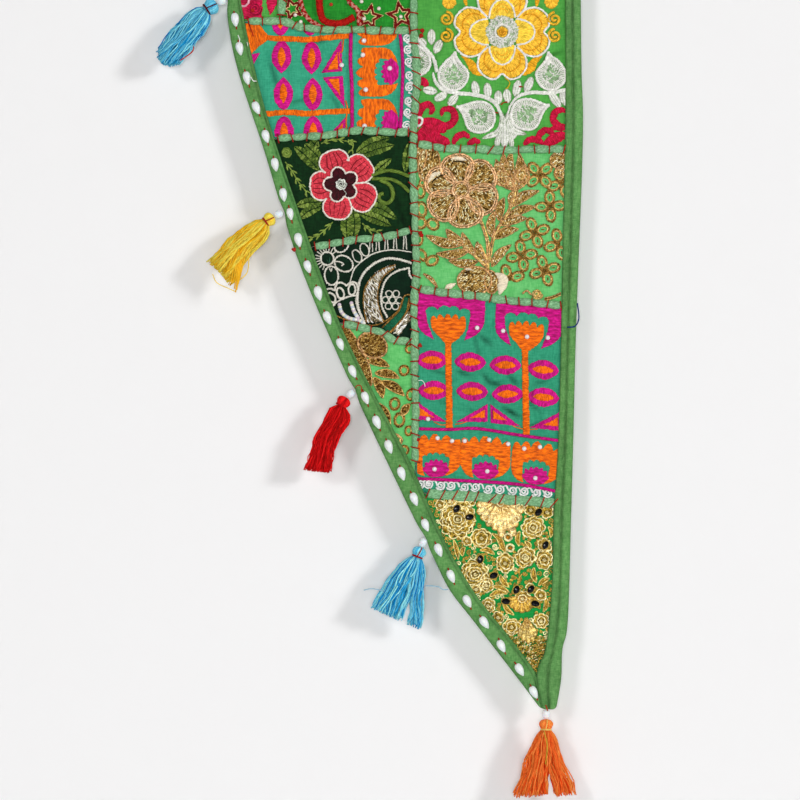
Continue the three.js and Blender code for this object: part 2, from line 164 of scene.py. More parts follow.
# %% [markdown]
# ## How the cloth lies
# Hung patchwork is never flat. It keeps broad swells, it is drawn in wherever a cord is sewn down,
# it puckers a little at each stitch of that cord, and it holds some creases from folding. All of it
# is one height over the flat pattern, so that whatever is sewn on can be laid on the same surface.

# %% The lie of the cloth
CLOTH = 1.2
SLOT = CLOTH / 2 + 0.4
BINDING_Y = SLOT + 1  # how far a binding's face stands from the middle of the cloth
SWELLS = [  # x, z, spread across, spread down, rise
    (152, -135, 26, 42, 1.7), (148, -250, 24, 40, -1.3), (70, -90, 55, 60, 1.1),
    (-60, -110, 50, 45, 0.9), (-30, -195, 48, 34, 1.3), (75, -230, 48, 44, 1.2),
    (80, -375, 50, 60, -1.2), (-12, -380, 30, 40, 1.1), (90, -530, 34, 50, 1.5),
    (142, -588, 20, 26, 1.6),
]
RIPPLES = [  # wavelength, direction in degrees, height
    (31, 20, 0.20), (23, 74, 0.17), (17, 118, 0.12), (13, 160, 0.09), (9.5, 47, 0.06), (7.4, 97, 0.045),
]
CREASES = [  # from x, z to x, z, half-width, depth (negative stands up as a ridge)
    (69, -356, 75, -363, 3.0, 0.8), (74, -363, 86, -365.4, 3.0, 0.8), (91, -357, 99, -366, 3.0, 0.7),
    (66, -323, 77, -332, 3.2, 0.6), (45, -353, 60, -358, 3.0, 0.5), (86, -384, 101, -393, 3.0, 0.8),
    (73, -373, 79, -381, 2.8, 0.5), (56, -384, 66, -392, 2.8, 0.35), (112, -365, 124, -362, 2.8, 0.4),
    (96, -372, 118, -388, 2.6, 0.5), (82, -386, 70, -402, 2.2, -0.35), (24, -352, 44, -358, 2.6, 0.4),
    (28, -377, 44, -384, 2.4, 0.3), (62, -322, 68, -352, 2.4, 0.35), (98, -404, 122, -396, 2.4, 0.4),
    (26, -98, 40, -60, 3.2, 0.45), (60, -132, 96, -138, 2.6, 0.45), (118, -90, 136, -82, 2.8, 0.5),
    (26, -62, 36, -110, 2.8, -0.3), (50, -192, 82, -196, 2.6, 0.4), (24, -236, 40, -262, 3.2, 0.4),
    (28, -270, 48, -262, 2.8, -0.35), (86, -170, 92, -186, 2.4, 0.4), (110, -276, 130, -262, 2.8, 0.35),
    (-112, -90, -100, -128, 3.4, 0.45), (-84, -76, -60, -72, 2.4, 0.5), (-60, -118, -52, -134, 2.6, 0.4),
    (-98, -126, -70, -122, 2.6, 0.35), (-36, -96, -30, -112, 2.2, 0.25), (-24, -176, -6, -190, 3.4, 0.5),
    (-60, -226, -36, -234, 3.0, 0.45), (-6, -206, 4, -232, 2.8, 0.4), (-14, -338, 4, -352, 2.8, -0.4),
    (-24, -334, -6, -344, 2.8, 0.45), (-10, -372, 4, -366, 2.4, 0.35), (-60, -24, -20, -34, 3.4, 0.5),
]
PUCKER = {"pitch": 12.4, "reach": 6.5, "height": 0.34}
FULLNESS = 0.45  # how far the cloth stands up between its seams


def soft_step(low, high, value):
    """0 below low, 1 above high, and an S-shaped rise between them."""
    t = np.clip((value - low) / (high - low), 0, 1)
    return t * t * (3 - 2 * t)


def swell(x, z):
    """Where the middle of the cloth stands along Y: minus the sum of the bell-shaped swells."""
    hang = soft_step(HEADING + 4, HEADING + 60, -z)
    bells = sum(r * np.exp(-(((x - a) / w) ** 2) - ((z - b) / h) ** 2) for a, b, w, h, r in SWELLS)
    return -hang * bells


def own_cross_joins(x, z):
    """How far a point is from each cross join on its own side of the long join, nearest first."""
    left = x < main_join(z)
    sides = {"star": left, "anemone": left, "paisley": left, "sprig": left, "zari": ~left, "tulip": ~left}
    far = [np.where(side, np.abs(z - CROSS[name](x)), 99.0) for name, side in sides.items()]
    return np.min(far + [np.abs(z - CROSS["rosette"](x))], axis=0)


def seam_distance(x, z):
    """Distance to the nearest seam of any kind, about level where the seams are steep."""
    to_main = np.where(z > -436, np.abs(x - main_join(z)), 99.0)
    to_short = np.where(z > CROSS["star"](x), np.abs(x - short_join(z)), 99.0)
    edges = [(x - curved_inner(z)) * 0.88, straight_inner(z) - x, -HEADING - z]
    return np.min([to_main, to_short, own_cross_joins(x, z), *edges], axis=0)


def crease(x, z, row):
    """A soft trough along a short line: its depth times a bell across, faded at both ends."""
    x0, z0, x1, z1, half, depth = row
    length = np.hypot(x1 - x0, z1 - z0)
    along = ((x - x0) * (x1 - x0) + (z - z0) * (z1 - z0)) / length
    off = ((x - x0) * (z1 - z0) - (z - z0) * (x1 - x0)) / length
    ends = soft_step(-5, 8, along) * soft_step(-5, 8, length - along)
    return depth * ends * np.exp(-((off / (0.62 * half)) ** 2))


def lie(x, z):
    """How far the cloth stands forward of its swells: ripples, less creases, drawn in at seams."""
    x, z = np.asarray(x, float), np.asarray(z, float)
    waves = 0
    for length, turn, height in RIPPLES:
        run = x * np.cos(np.radians(turn)) + z * np.sin(np.radians(turn))
        waves = waves + height * np.sin(run * 2 * np.pi / length + turn)
    creases = sum(crease(x, z, row) for row in CREASES)
    off = seam_distance(x, z)
    to_main = np.abs(x - main_join(z))
    along = np.where(to_main < own_cross_joins(x, z), z, x)
    gathers = np.cos(along * 2 * np.pi / PUCKER["pitch"]) * np.exp(-((off / PUCKER["reach"]) ** 2))
    loose = soft_step(0, 9, off) * (FULLNESS + 1.25 * waves - 3.0 * creases)
    return loose + PUCKER["height"] * gathers * soft_step(0.5, 3, off)


def front(x, z):
    """Y of the cloth's face at a point of the flat pattern."""
    return swell(x, z) - CLOTH / 2 - lie(x, z)


depth = np.ptp(lie(*np.meshgrid(range(20, 130), range(-460, -20))))
print("cloth: lies within", round(float(depth), 2), "mm")

# %% [markdown]
# ## Finishes
# Thread and cloth are dielectric, so their colour is in the base and their gloss is broad and weak.
# What tells them apart is the direction and size of their fibres. Metal thread is a strip of gilt
# foil wound on a core: it is metallic, and it flashes from one turn to the next. Much of that flash,
# and the shade between turns, is painted into its colour.

# %% Colours and one small node helper


def linear(hex_colour):
    """An sRGB hex colour as linear red, green, blue and a full alpha. The toe is a straight line, and the
    rest a power of 2.4."""
    parts = np.array([int(hex_colour[i : i + 2], 16) for i in (1, 3, 5)]) / 255
    lit = np.where(parts <= 0.04045, parts / 12.92, ((parts + 0.055) / 1.055) ** 2.4)
    return (*lit.tolist(), 1.0)


def add_node(tree, kind, inputs=None, **settings):
    """Adds a shader node, sets its properties, and fills its inputs with values or with links."""
    made = tree.nodes.new("ShaderNode" + kind)
    for name, value in settings.items():
        setattr(made, name, value)
    for name, value in (inputs or {}).items():
        if isinstance(value, bpy.types.NodeSocket):
            tree.links.new(value, made.inputs[name])
        else:
            made.inputs[name].default_value = value
    return made


def new_material(name, **shader):
    """A material with its shader's own sockets set. Returns it, its node tree and its shader."""
    made = bpy.data.materials.new(name)
    made.use_nodes = True
    bsdf = made.node_tree.nodes["Principled BSDF"]
    for socket, value in shader.items():
        bsdf.inputs[socket.replace("_", " ")].default_value = value
    return made, made.node_tree, bsdf


# %% Woven cloth
def woven_cloth(name, colour, dark, rough=0.85, thread=1.1, mottle=8.0, relief=0.14):
    """Plain-woven cotton: matt, with an uneven dye in blotches mottle mm across, and slubs along both
    thread directions that stand up by relief mm. Real threads are 0.4 mm apart, and they are drawn
    thread mm apart to show. The attribute 'tint' multiplies the colour: painted shade in creases, beside
    seams and along the bindings' folds, seams and edges, with some random mottling."""
    made, tree, bsdf = new_material(name, Roughness=rough, Specular_IOR_Level=0.12)
    place = add_node(tree, "TexCoord").outputs["Object"]
    slubs = []
    for squeeze in ((0.16, 1, 1), (1, 1, 0.16)):
        along = add_node(tree, "Mapping", {"Vector": place, "Scale": squeeze}).outputs[0]
        fine = {"Vector": along, "Scale": 1 / (thread * MM), "Detail": 2.0, "Roughness": 0.6}
        slubs.append(add_node(tree, "TexNoise", fine).outputs["Fac"])
    weave = add_node(tree, "Math", {0: slubs[0], 1: slubs[1]}, operation="ADD").outputs[0]
    broad = {"Vector": place, "Scale": 1 / (mottle * MM), "Detail": 3.0}
    blotch = add_node(tree, "TexNoise", broad).outputs["Fac"]
    tone = add_node(tree, "Math", {0: blotch, 1: 0.7, 2: weave}, operation="MULTIPLY_ADD").outputs[0]
    spread = add_node(tree, "MapRange", {"Value": tone, "From Min": 1.12, "From Max": 1.6}).outputs[0]
    dyed = add_node(tree, "Mix", {"Factor": spread, 6: linear(dark), 7: linear(colour)}, data_type="RGBA")
    tint = add_node(tree, "Attribute", attribute_name="tint").outputs["Color"]
    # the tint brings painted shade and random mottling into the dyed colour
    mottle_and_shade = add_node(tree, "VectorMath", {0: dyed.outputs[2], 1: tint}, operation="MULTIPLY")
    tree.links.new(mottle_and_shade.outputs[0], bsdf.inputs["Base Color"])
    bump = add_node(tree, "Bump", {"Height": weave, "Strength": 0.55, "Distance": relief * MM})
    tree.links.new(bump.outputs[0], bsdf.inputs["Normal"])
    return made


# %% Thread, by the colour that each stitch carries
# low and deepen set the painted shade between fibres, and high and pale the painted highlight on top
FLOSS = {  # the share of noise along and across the fibres, brightness and power of colour low and high
    "along": 0.24, "across": 0.9, "low": 0.45, "high": 1.42, "deepen": 1.2, "pale": 0.9, "relief": 0.24,
}


def thread_finish(name, rough, metallic=0.0, **change):
    """Embroidery thread. Its colour comes with each stitch as the attribute 'tint', and its fibres run
    along U: the noise is stretched along U and fine across it, in mm of thread. Between fibres the colour
    is darkened with painted shade and raised to the power deepen, and on top of them it is lightened with
    a painted highlight, to the power pale."""
    look = FLOSS | change
    made, tree, bsdf = new_material(name, Roughness=rough, Metallic=metallic, Specular_IOR_Level=0.14)
    uv = add_node(tree, "UVMap", uv_map="thread").outputs[0]
    stretch = (look["along"], look["across"], 1)
    run = add_node(tree, "Mapping", {"Vector": uv, "Scale": stretch}).outputs[0]
    hairs = {"Vector": run, "Scale": 1.0, "Detail": 2.5, "Roughness": 0.65}
    fibre = add_node(tree, "TexNoise", hairs).outputs["Fac"]
    shade, power = (
        add_node(
            tree, "MapRange",
            {"Value": fibre, "From Min": 0.3, "From Max": 0.7, "To Min": look[low], "To Max": look[high]},
        ).outputs[0]
        for low, high in (("low", "high"), ("deepen", "pale"))
    )
    tint = add_node(tree, "Attribute", attribute_name="tint").outputs["Color"]
    # painted shade deepens the colour between fibres, and a painted highlight pales it on top
    rich = add_node(tree, "Gamma", {"Color": tint, "Gamma": power}).outputs[0]
    lit = add_node(tree, "VectorMath", {0: rich, 1: shade}, operation="MULTIPLY").outputs[0]
    tree.links.new(lit, bsdf.inputs["Base Color"])
    bump = add_node(tree, "Bump", {"Height": fibre, "Strength": 0.6, "Distance": look["relief"] * MM})
    tree.links.new(bump.outputs[0], bsdf.inputs["Normal"])
    return made


floss = thread_finish("satin_stitch_floss", 0.6)
cotton_thread = thread_finish("spun_cotton_thread", 0.75, low=0.7, high=1.22)
# metal thread gets the strongest painted shade between turns and the whitest painted glint on top
metal_thread = thread_finish(
    "gilt_metal_thread", 0.4, 0.4,
    along=0.7, across=0.7, low=0.62, high=1.55, deepen=1.75, pale=0.52, relief=0.22,
)
yarn = thread_finish("soft_cotton_yarn", 0.85, along=0.45, across=0.6, low=0.62, high=1.3, relief=0.5)

# %% Shell, bead and stone


def clouded(name, pale, dark, cloud, detail=1.0, **shader):
    """A smooth hard finish that drifts between two near tones, in clouds about cloud mm across."""
    made, tree, bsdf = new_material(name, **shader)
    place = add_node(tree, "TexCoord").outputs["Object"]
    drift = {"Vector": place, "Scale": 1 / (cloud * MM), "Detail": detail}
    share = add_node(tree, "TexNoise", drift).outputs["Fac"]
    tone = add_node(tree, "Mix", {"Factor": share, 6: linear(pale), 7: linear(dark)}, data_type="RGBA")
    tree.links.new(tone.outputs[2], bsdf.inputs["Base Color"])
    return made


shell_white = clouded(
    "polished_white_shell", "#FFFFFF", "#F3F1EC", 1 / 0.26, 2.0, Roughness=0.28, Subsurface_Weight=0.15,
)
milky_bead = clouded(
    "milky_moulded_bead", "#FBFBFE", "#EFF0F5", 1 / 0.18, Roughness=0.22, Subsurface_Weight=0.3, IOR=1.49,
)
jet = clouded("polished_black_stone", "#060608", "#15161A", 2.0, Roughness=0.08, Specular_IOR_Level=0.3)

# seed beads are glass with a pearl coat, dyed in the colour that each carries
pearl, tree, bsdf = new_material("pearl_white_seed_bead", Roughness=0.2, IOR=1.55)
place = add_node(tree, "TexCoord").outputs["Object"]
speck = add_node(tree, "TexNoise", {"Vector": place, "Scale": 900.0, "Detail": 1.0}).outputs["Fac"]
tint = add_node(tree, "Attribute", attribute_name="tint").outputs["Color"]
paled = add_node(tree, "MapRange", {"Value": speck, "To Min": 0.85, "To Max": 1.1}).outputs[0]
lit = add_node(tree, "VectorMath", {0: tint, 1: paled}, operation="MULTIPLY").outputs[0]
tree.links.new(lit, bsdf.inputs["Base Color"])
print("finishes:", len(bpy.data.materials))

# %% [markdown]
# ## A gathered mesh
# A patch can hold hundreds of stitched shapes. Each is a skin over a row of rings, so they are
# gathered as arrays and put into one mesh at the end. A shape whose signed volume comes out negative
# is inside out, and its faces are turned round.

# %% Gathering skins into a piece


def skin(rings, around):
    """Quads between neighbouring rings, and a fan of triangles to a middle point at each end."""
    ring = np.arange(rings * around).reshape(rings, around)
    near, far = ring[:-1], ring[1:]
    quads = np.stack([near, np.roll(near, -1, 1), np.roll(far, -1, 1), far], -1).reshape(-1, 4)
    first, last, count = ring[0], ring[-1], rings * around
    start = np.stack([np.full(around, count), np.roll(first, -1), first], -1)
    end = np.stack([np.full(around, count + 1), last, np.roll(last, -1)], -1)
    return quads, np.concatenate([start, end])


class Work:
    """Skins that will be one piece: points in mm, faces, thread coordinates and thread colour."""

    def __init__(self):
        self.points, self.quads, self.fans, self.uv, self.tint = [], [], [], [], []
        self.count = 0

    def add(self, rings, uv, tint):
        """Closed skins: rings is (skins, stations, around, 3), or without the first for one skin. tint
        is one colour, one for each station, (skins, 1, 3), or one for each point."""
        if rings.ndim == 3:
            rings, uv = rings[None], uv[None]
        number, stations, around = rings.shape[:3]
        quads, fans = skin(stations, around)
        middles = lambda of: np.stack([of[:, 0].mean(1), of[:, -1].mean(1)], 1)
        ends = lambda of: np.concatenate([of.reshape(number, -1, of.shape[-1]), middles(of)], 1)
        points = ends(rings)
        corners = np.concatenate([quads[:, :3], quads[:, [0, 2, 3]], fans])
        a, b, c = points[0][corners].transpose(1, 0, 2)
        if np.einsum("ij,ij->", a, np.cross(b, c)) < 0:
            quads, fans = quads[:, ::-1], fans[:, ::-1]
        tint = np.asarray(tint, float)
        if tint.ndim < 4:
            tint = tint.reshape((-1, 1, 1, 3) if tint.ndim == 3 else (1, -1, 1, 3))
        tint = np.broadcast_to(tint, rings.shape)
        start = self.count + np.arange(number)[:, None, None] * points.shape[1]
        self.points.append(points.reshape(-1, 3))
        self.quads.append((quads + start).reshape(-1, 4))
        self.fans.append((fans + start).reshape(-1, 3))
        self.uv.append(ends(np.broadcast_to(uv, (*rings.shape[:3], 2))).reshape(-1, 2))
        self.tint.append(ends(tint).reshape(-1, 3))
        self.count += points.shape[0] * points.shape[1]

    def piece(self, name, finish, slot, nodes=(), smooth=True):
        """Makes the mesh, with its thread coordinates and colours, and rides it on the frame."""
        arrays = (np.concatenate(part) for part in (self.points, self.quads, self.fans))
        tint, uv = np.concatenate(self.tint), np.concatenate(self.uv)
        return mesh_piece(name, *arrays, finish, slot, tint, nodes, uv, smooth)


def mesh_piece(name, points, quads, fans, finish, slot, tint, nodes, uv=None, smooth=True):
    """A mesh object from arrays in mm. Faces go in as one run of corners with each face's start. nodes
    are the plain solids that the piece takes the place of."""
    mesh = bpy.data.meshes.new(name)
    mesh.vertices.add(len(points))
    mesh.vertices.foreach_set("co", (points * MM).astype(np.float32).ravel())
    corners = np.concatenate([quads.ravel(), fans.ravel()]).astype(np.int32)
    sizes = np.concatenate([np.full(len(quads), 4), np.full(len(fans), 3)])
    mesh.loops.add(len(corners))
    mesh.loops.foreach_set("vertex_index", corners)
    mesh.polygons.add(len(sizes))
    mesh.polygons.foreach_set("loop_start", (np.cumsum(sizes) - sizes).astype(np.int32))
    mesh.polygons.foreach_set("use_smooth", np.full(len(sizes), smooth))
    mesh.update(calc_edges=True)
    if uv is not None:
        layer = mesh.uv_layers.new(name="thread")
        layer.data.foreach_set("uv", uv[corners].astype(np.float32).ravel())
    layer = mesh.color_attributes.new("tint", "FLOAT_COLOR", "POINT")
    rgba = np.concatenate([tint, np.ones((len(tint), 1))], axis=1)
    layer.data.foreach_set("color", rgba.astype(np.float32).ravel())
    mesh.materials.append(finish)
    made = bpy.data.objects.new(name, mesh)
    bpy.context.scene.collection.objects.link(made)
    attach(made, "root")
    if nodes:
        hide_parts(*nodes)
    print(f"{name}: {len(quads) * 2 + len(fans)} triangles")
    return made


def colour_of(hex_colour):
    """An sRGB hex colour as three linear numbers."""
    return np.array(linear(hex_colour)[:3])


# %% [markdown]
# ## The patches
# Each patch is a sheet of cloth 1.2 mm thick with its backing. It is cut to run under the bindings
# and to meet its neighbours under the cords. A grid is settled between its four curved edges, once
# for the face and once for the back, and the rim between them is closed.

# %% Patch sheets
TUCK = 3  # how far a patch runs under a binding
GAP = 0.4  # how far it stays from the line of a join
always = lambda value: lambda at: np.full_like(np.asarray(at, float), value)
left_edge = lambda z: curved_inner(z) - TUCK
right_edge = lambda z: straight_inner(z) + TUCK
right_of_main = lambda z: np.maximum(main_join(z) + GAP, left_edge(z))
left_of_main = lambda z: main_join(z) - GAP
under = lambda name: lambda x: CROSS[name](x) - GAP
over = lambda name: lambda x: CROSS[name](x) + GAP
top_cut = always(-HEADING + TUCK)
PATCHES = {  # left edge, right edge, bottom, top, colour, shade, roughness
    "rose": (left_edge, lambda z: short_join(z) - GAP, over("star"), top_cut, "#5DB551", "#489C40", 0.8),
    "star": (lambda z: short_join(z) + GAP, left_of_main, over("star"), top_cut, "#25992B", "#187E20", 0.6),
    "lattice": (left_edge, left_of_main, over("anemone"), under("star"), "#41B08B", "#2F9A78", 0.8),
    "anemone": (left_edge, left_of_main, over("paisley"), under("anemone"), "#0E3516", "#07240D", 0.8),
    "paisley": (left_edge, left_of_main, over("sprig"), under("paisley"), "#0A2A18", "#051C10", 0.8),
    "sprig": (left_edge, left_of_main, always(-443), under("sprig"), "#72CE78", "#58BC62", 0.6),
    "bloom": (right_of_main, right_edge, over("zari"), top_cut, "#58B04B", "#479B40", 0.75),
    "zari": (right_of_main, right_edge, over("tulip"), under("zari"), "#76CF7C", "#5CBD66", 0.6),
    "tulip": (right_of_main, right_edge, over("rosette"), under("tulip"), "#3BA680", "#2A906C", 0.8),
    "rosette": (left_edge, right_edge, always(-612), under("rosette"), "#14A046", "#0C8A38", 0.6),
}
CELL = 1.9  # the size of a face of the sheets


def settle(u, v, left, right, bottom, top):
    """The point at share u of the way across and v of the way up, found by going to and fro."""
    x = left(top(0.0)) + (right(top(0.0)) - left(top(0.0))) * u
    for _ in range(12):
        z = bottom(x) + (top(x) - bottom(x)) * v
        x = left(z) + (right(z) - left(z)) * u
    return x, z


def patch_sheet(name):
    """A patch's closed sheet: its face, its back 1.2 mm behind, and the rim that joins them. Its creases
    and the cloth beside its seams are darkened with painted shade."""
    left, right, bottom, top, colour, shade, rough = PATCHES[name]
    x, z = settle(np.array([0.0, 1, 0]), np.array([1.0, 1, 0]), left, right, bottom, top)
    columns, rows = int(np.ceil(abs(x[1] - x[0]) / CELL)), int(np.ceil(abs(z[2] - z[0]) / CELL))
    u, v = np.meshgrid(np.linspace(0, 1, columns + 1), np.linspace(0, 1, rows + 1))
    x, z = settle(u, v, left, right, bottom, top)
    face = np.stack([x, front(x, z), z], -1).reshape(-1, 3)
    points = np.concatenate([face, face + [0, CLOTH, 0]])
    at = np.arange(len(face)).reshape(rows + 1, columns + 1)
    cells = np.stack([at[:-1, :-1], at[:-1, 1:], at[1:, 1:], at[1:, :-1]], -1).reshape(-1, 4)
    rim = np.concatenate([at[0, :-1], at[:-1, -1], at[-1, :0:-1], at[:0:-1, 0]])
    ahead, back = np.roll(rim, -1), len(face)
    walls = np.stack([ahead, rim, rim + back, ahead + back], -1)
    quads = np.concatenate([cells, cells[:, ::-1] + back, walls])
    finish = woven_cloth(f"{name}_ground_cotton", colour, shade, rough)
    # painted shade: the colour is darker in the troughs of the creases and close to the seams
    painted_shade = sum(crease(x, z, row) for row in CREASES).clip(0, 0.8)
    painted_shade = painted_shade + 0.25 * np.exp(-((seam_distance(x, z) / 3) ** 2))
    tint = np.repeat(np.tile((1 - 1.05 * painted_shade).reshape(-1, 1), (2, 1)), 3, axis=1)
    no_fans = np.zeros((0, 3), int)
    made = mesh_piece(
        f"cloth_{name}", points, quads, no_fans, finish, f"cloth_{name}", tint, [f"patch_{name}"],
    )
    a, b, c, d = np.stack([x.ravel(), z.ravel()], -1)[cells].transpose(1, 0, 2)
    area = np.abs(np.cross(c - a, d - b)).sum() / 2
    return made, (np.ptp(x), np.ptp(z)), area


sheets = {name: patch_sheet(name) for name in PATCHES}

# %% [markdown]
# ## The bindings
# A binding is a strip of green cotton folded over the raw edge and stitched through. Its section is
# carried along the edge: a face that rounds over the outer fold, a seam line that dips where it is
# stitched, and a lip beyond it. The two sides differ, as two strips sewn by hand do.

# %% Binding strips
binding_cloth = woven_cloth(
    "green_binding_cotton", "#6CA05D", "#508747", rough=0.9, thread=0.8, mottle=4.0, relief=0.3,
)
FACE_STEPS = 21
CORNER = 3.2  # radius of the fold's turn at the tip
BINDING_CREASES = [  # as for the cloth
    (138.4, -578, 127.5, -594, 1.3, 0.9), (-139, -98, -131, -104, 1.6, 0.4),
    (141, -480, 137, -487, 1.4, 0.5),
]
across_face = np.linspace(0, 1, FACE_STEPS)[None, :] ** 1.25  # shares of a face, closer at the fold


def face_profile(s, width, seams):
    """How far a binding's face stands off its plain level at share s from the fold to the edge: it
    rounds down over the fold, and dips in a narrow bell at each (place, half-width, depth) seam."""
    across = s * width
    rounded = -1.5 * (1 - np.sqrt(1 - np.clip(1 - across / 2.4, 0, 1) ** 2))
    dips = sum(depth * np.exp(-(((across - place) / half) ** 2)) for place, half, depth in seams)
    lip = -0.55 * soft_step(width - 0.9, width, across)
    return rounded - dips + lip


def strip(node, outer, inner, lapped, seams, shade_bands):
    """A folded strip between its outer fold and its inner edge, lofted from level sections. The ring
    of a section runs over the face, back inside the fold, and over the back. Over its last 3 mm the
    fold comes in along a quarter circle. The strip that is lapped over the other at the tip (1, not 0)
    is rounded at both corners and stands forward. The last argument lists bands of painted shade across
    the face, as (share of the width, half-width, depth); a negative depth paints a band lighter."""
    top = -HEADING - 0.3
    bend = TIP + CORNER * (1 - np.sin(np.linspace(0, np.pi / 2, 7)[1:]))
    z = np.concatenate([np.linspace(top, TIP + CORNER, 280), bend])[:, None]
    turned = CORNER * (1 - np.sqrt(1 - np.clip((TIP + CORNER - z) / CORNER, 0, 1) ** 2))
    inward = np.sign(inner(z) - outer(z))
    fold, edge = outer(z) + inward * turned, inner(z) - inward * turned * lapped
    width = np.abs(edge - fold)
    s = across_face
    x_face = fold + (edge - fold) * s
    wander = 0.22 * np.sin(z / 7.3 + s * 3) + 0.16 * np.sin(z / 3.1 - s * 5) + 0.1 * np.sin(z / 1.9 + s * 9)
    folds = sum(crease(x_face, z, row) for row in BINDING_CREASES)
    stand = BINDING_Y + face_profile(s, width, seams(width)) + wander * soft_step(0, 0.15, s) * 0.8 - folds
    stand = stand + 1.3 * lapped * soft_step(560, 600, -z)
    x_in = fold + (edge - fold) * np.array([[1.0, 0.12]])
    face = np.stack([x_face, swell(x_face, z) - stand, z + 0 * s], -1)
    inside_front = np.stack([x_in, swell(x_in, z) - SLOT + 0.25 + 0 * x_in, z + 0 * x_in], -1)
    inside_back = np.stack([x_in[:, ::-1], swell(x_in[:, ::-1], z) + SLOT - 0.1, z + 0 * x_in], -1)
    plain_back = BINDING_Y + face_profile(s, width, [(width * 0.8, 0.9, 0.5)])
    back = np.stack([x_face, swell(x_face, z) + plain_back, z + 0 * s], -1)[:, ::-1]
    rings = np.concatenate([face, inside_front, inside_back, back], axis=1)
    shut = soft_step(0, 10, -610 - z)[..., None]
    middle = np.concatenate([inside_front, inside_back], axis=1).mean(1, keepdims=True)
    inner_part = slice(FACE_STEPS, FACE_STEPS + 4)
    squeezed = rings[:, inner_part] * [1, 0, 1] + middle * [0, 1, 0]
    rings[:, inner_part] = rings[:, inner_part] * (1 - 0.8 * shut) + squeezed * 0.8 * shut
    blotch = 0.05 * np.sin(z / 11.7 + s * 4) + 0.04 * np.sin(z / 4.9 - s * 6) + 0.05 * np.sin(z / 29 + s * 2)
    # painted shade in bands across the face, at the fold, the seams and the edge, over random blotches
    mottle_and_shade = 1 + blotch - sum(d * np.exp(-(((s - at) / half) ** 2)) for at, half, d in shade_bands)
    grain = np.repeat(chance.normal(0, 0.05, (len(z), 11)), 2, axis=1)[:, :FACE_STEPS]
    tone = np.ones(rings.shape[:2])
    tone[:, :FACE_STEPS] = mottle_and_shade + grain
    work = Work()
    work.add(rings, rings[..., [0, 2]], (tone[..., None] * [1, 1, 1])[None])
    made = work.piece(f"{node}_strip", binding_cloth, "binding_cotton", [node])
    return made, float(width.mean()), float(np.hypot(np.diff(fold[:, 0]), np.diff(z[:, 0])).sum())


curved_strip, curved_wide, curved_long = strip(
    "binding_curved", curved_outer, curved_inner, lapped=0.0,
    seams=lambda w: [(w - 2.4, 0.75, 1.5), (w - 4.2, 1.2, -0.3)],
    shade_bands=[(0.0, 0.08, 0.2), (0.4, 0.2, -0.06), (0.81, 0.05, 0.42), (1.0, 0.06, 0.4)],
)
straight_strip, straight_wide, straight_long = strip(
    "binding_straight", straight_outer, lambda z: straight_inner(z) - 3.4 * soft_step(592, 606, -z),
    lapped=1.0,
    seams=lambda w: [(w * 0.56, 0.9, 1.5), (w * 0.56 - 2.6, 1.7, -0.5), (w - 1.3, 0.6, 0.5)],
    shade_bands=[(0.0, 0.08, 0.2), (0.25, 0.2, -0.09), (0.57, 0.07, 0.36), (0.72, 0.08, 0.08), (1.0, 0.06, 0.5)],
)

# %% The heading along the top
x = np.linspace(-HALF_TOP, HALF_TOP, 160)[:, None]
s = across_face
ripple = 0.12 * np.sin(x / 6.1 + s * 4) + 0.08 * np.sin(x / 2.9)
stand = BINDING_Y + face_profile(s, HEADING, [(HEADING - 3.0, 0.5, 0.5)]) + ripple * soft_step(0, 0.2, s)
z = -HEADING * s + 0 * x
face = np.stack([x + 0 * s, -stand, z], -1)
plain_back = BINDING_Y + face_profile(s, HEADING, []) + 0 * x
back = np.stack([x + 0 * s, plain_back, z], -1)[:, ::-1]
z_in = -HEADING * np.array([[1.0, 0.12]]) + 0 * x
inside = [np.stack([x + 0 * z_in, 0 * z_in + y, z_in], -1) for y in (-SLOT + 0.2, SLOT - 0.2)]
rings = np.concatenate([face, inside[0], inside[1][:, ::-1], back], axis=1)
heading_work = Work()
heading_work.add(rings, rings[..., [0, 2]], [0.95, 0.95, 0.95])
heading_strip = heading_work.piece("heading_strip", binding_cloth, "binding_cotton", ["heading"])

# %% [markdown]
# ## The couched cords
# A soft cord lies over each join and is held down by a red stitch every 12 mm or so. Between two
# stitches it swells like a small pillow. Its half-width at distance s along it is the full one times
# a share that falls at each stitch, and nothing made by hand is evenly spaced.

# %% Pillowed cords and their red stitches
YARN_COLOUR = colour_of("#86B98A")
STITCH_RED = colour_of("#A9271C")
CORD = {"half": 3.5, "high": 2.9, "pitch": 12.4, "pinch": 0.36}
BORDER_CORD = {"half": 4.3, "high": 2.4, "pitch": 10.4, "pinch": 0.14}
CORD_STEP = 0.9
tie_work = Work()


def cord_frame(path):
    """Distance along a path of points, and its unit direction and sideways direction."""
    step = np.gradient(path, axis=0)
    along = step / np.linalg.norm(step, axis=1, keepdims=True)
    run = np.concatenate([[0], np.cumsum(np.linalg.norm(np.diff(path, axis=0), axis=1))])
    return run, along, np.stack([-along[:, 1], along[:, 0]], -1)


def on_cloth(x, z, off):
    """Points that stand off the cloth's plain face by a distance, as x, y, z."""
    return np.stack([x, swell(x, z) - CLOTH / 2 - off, z], -1)


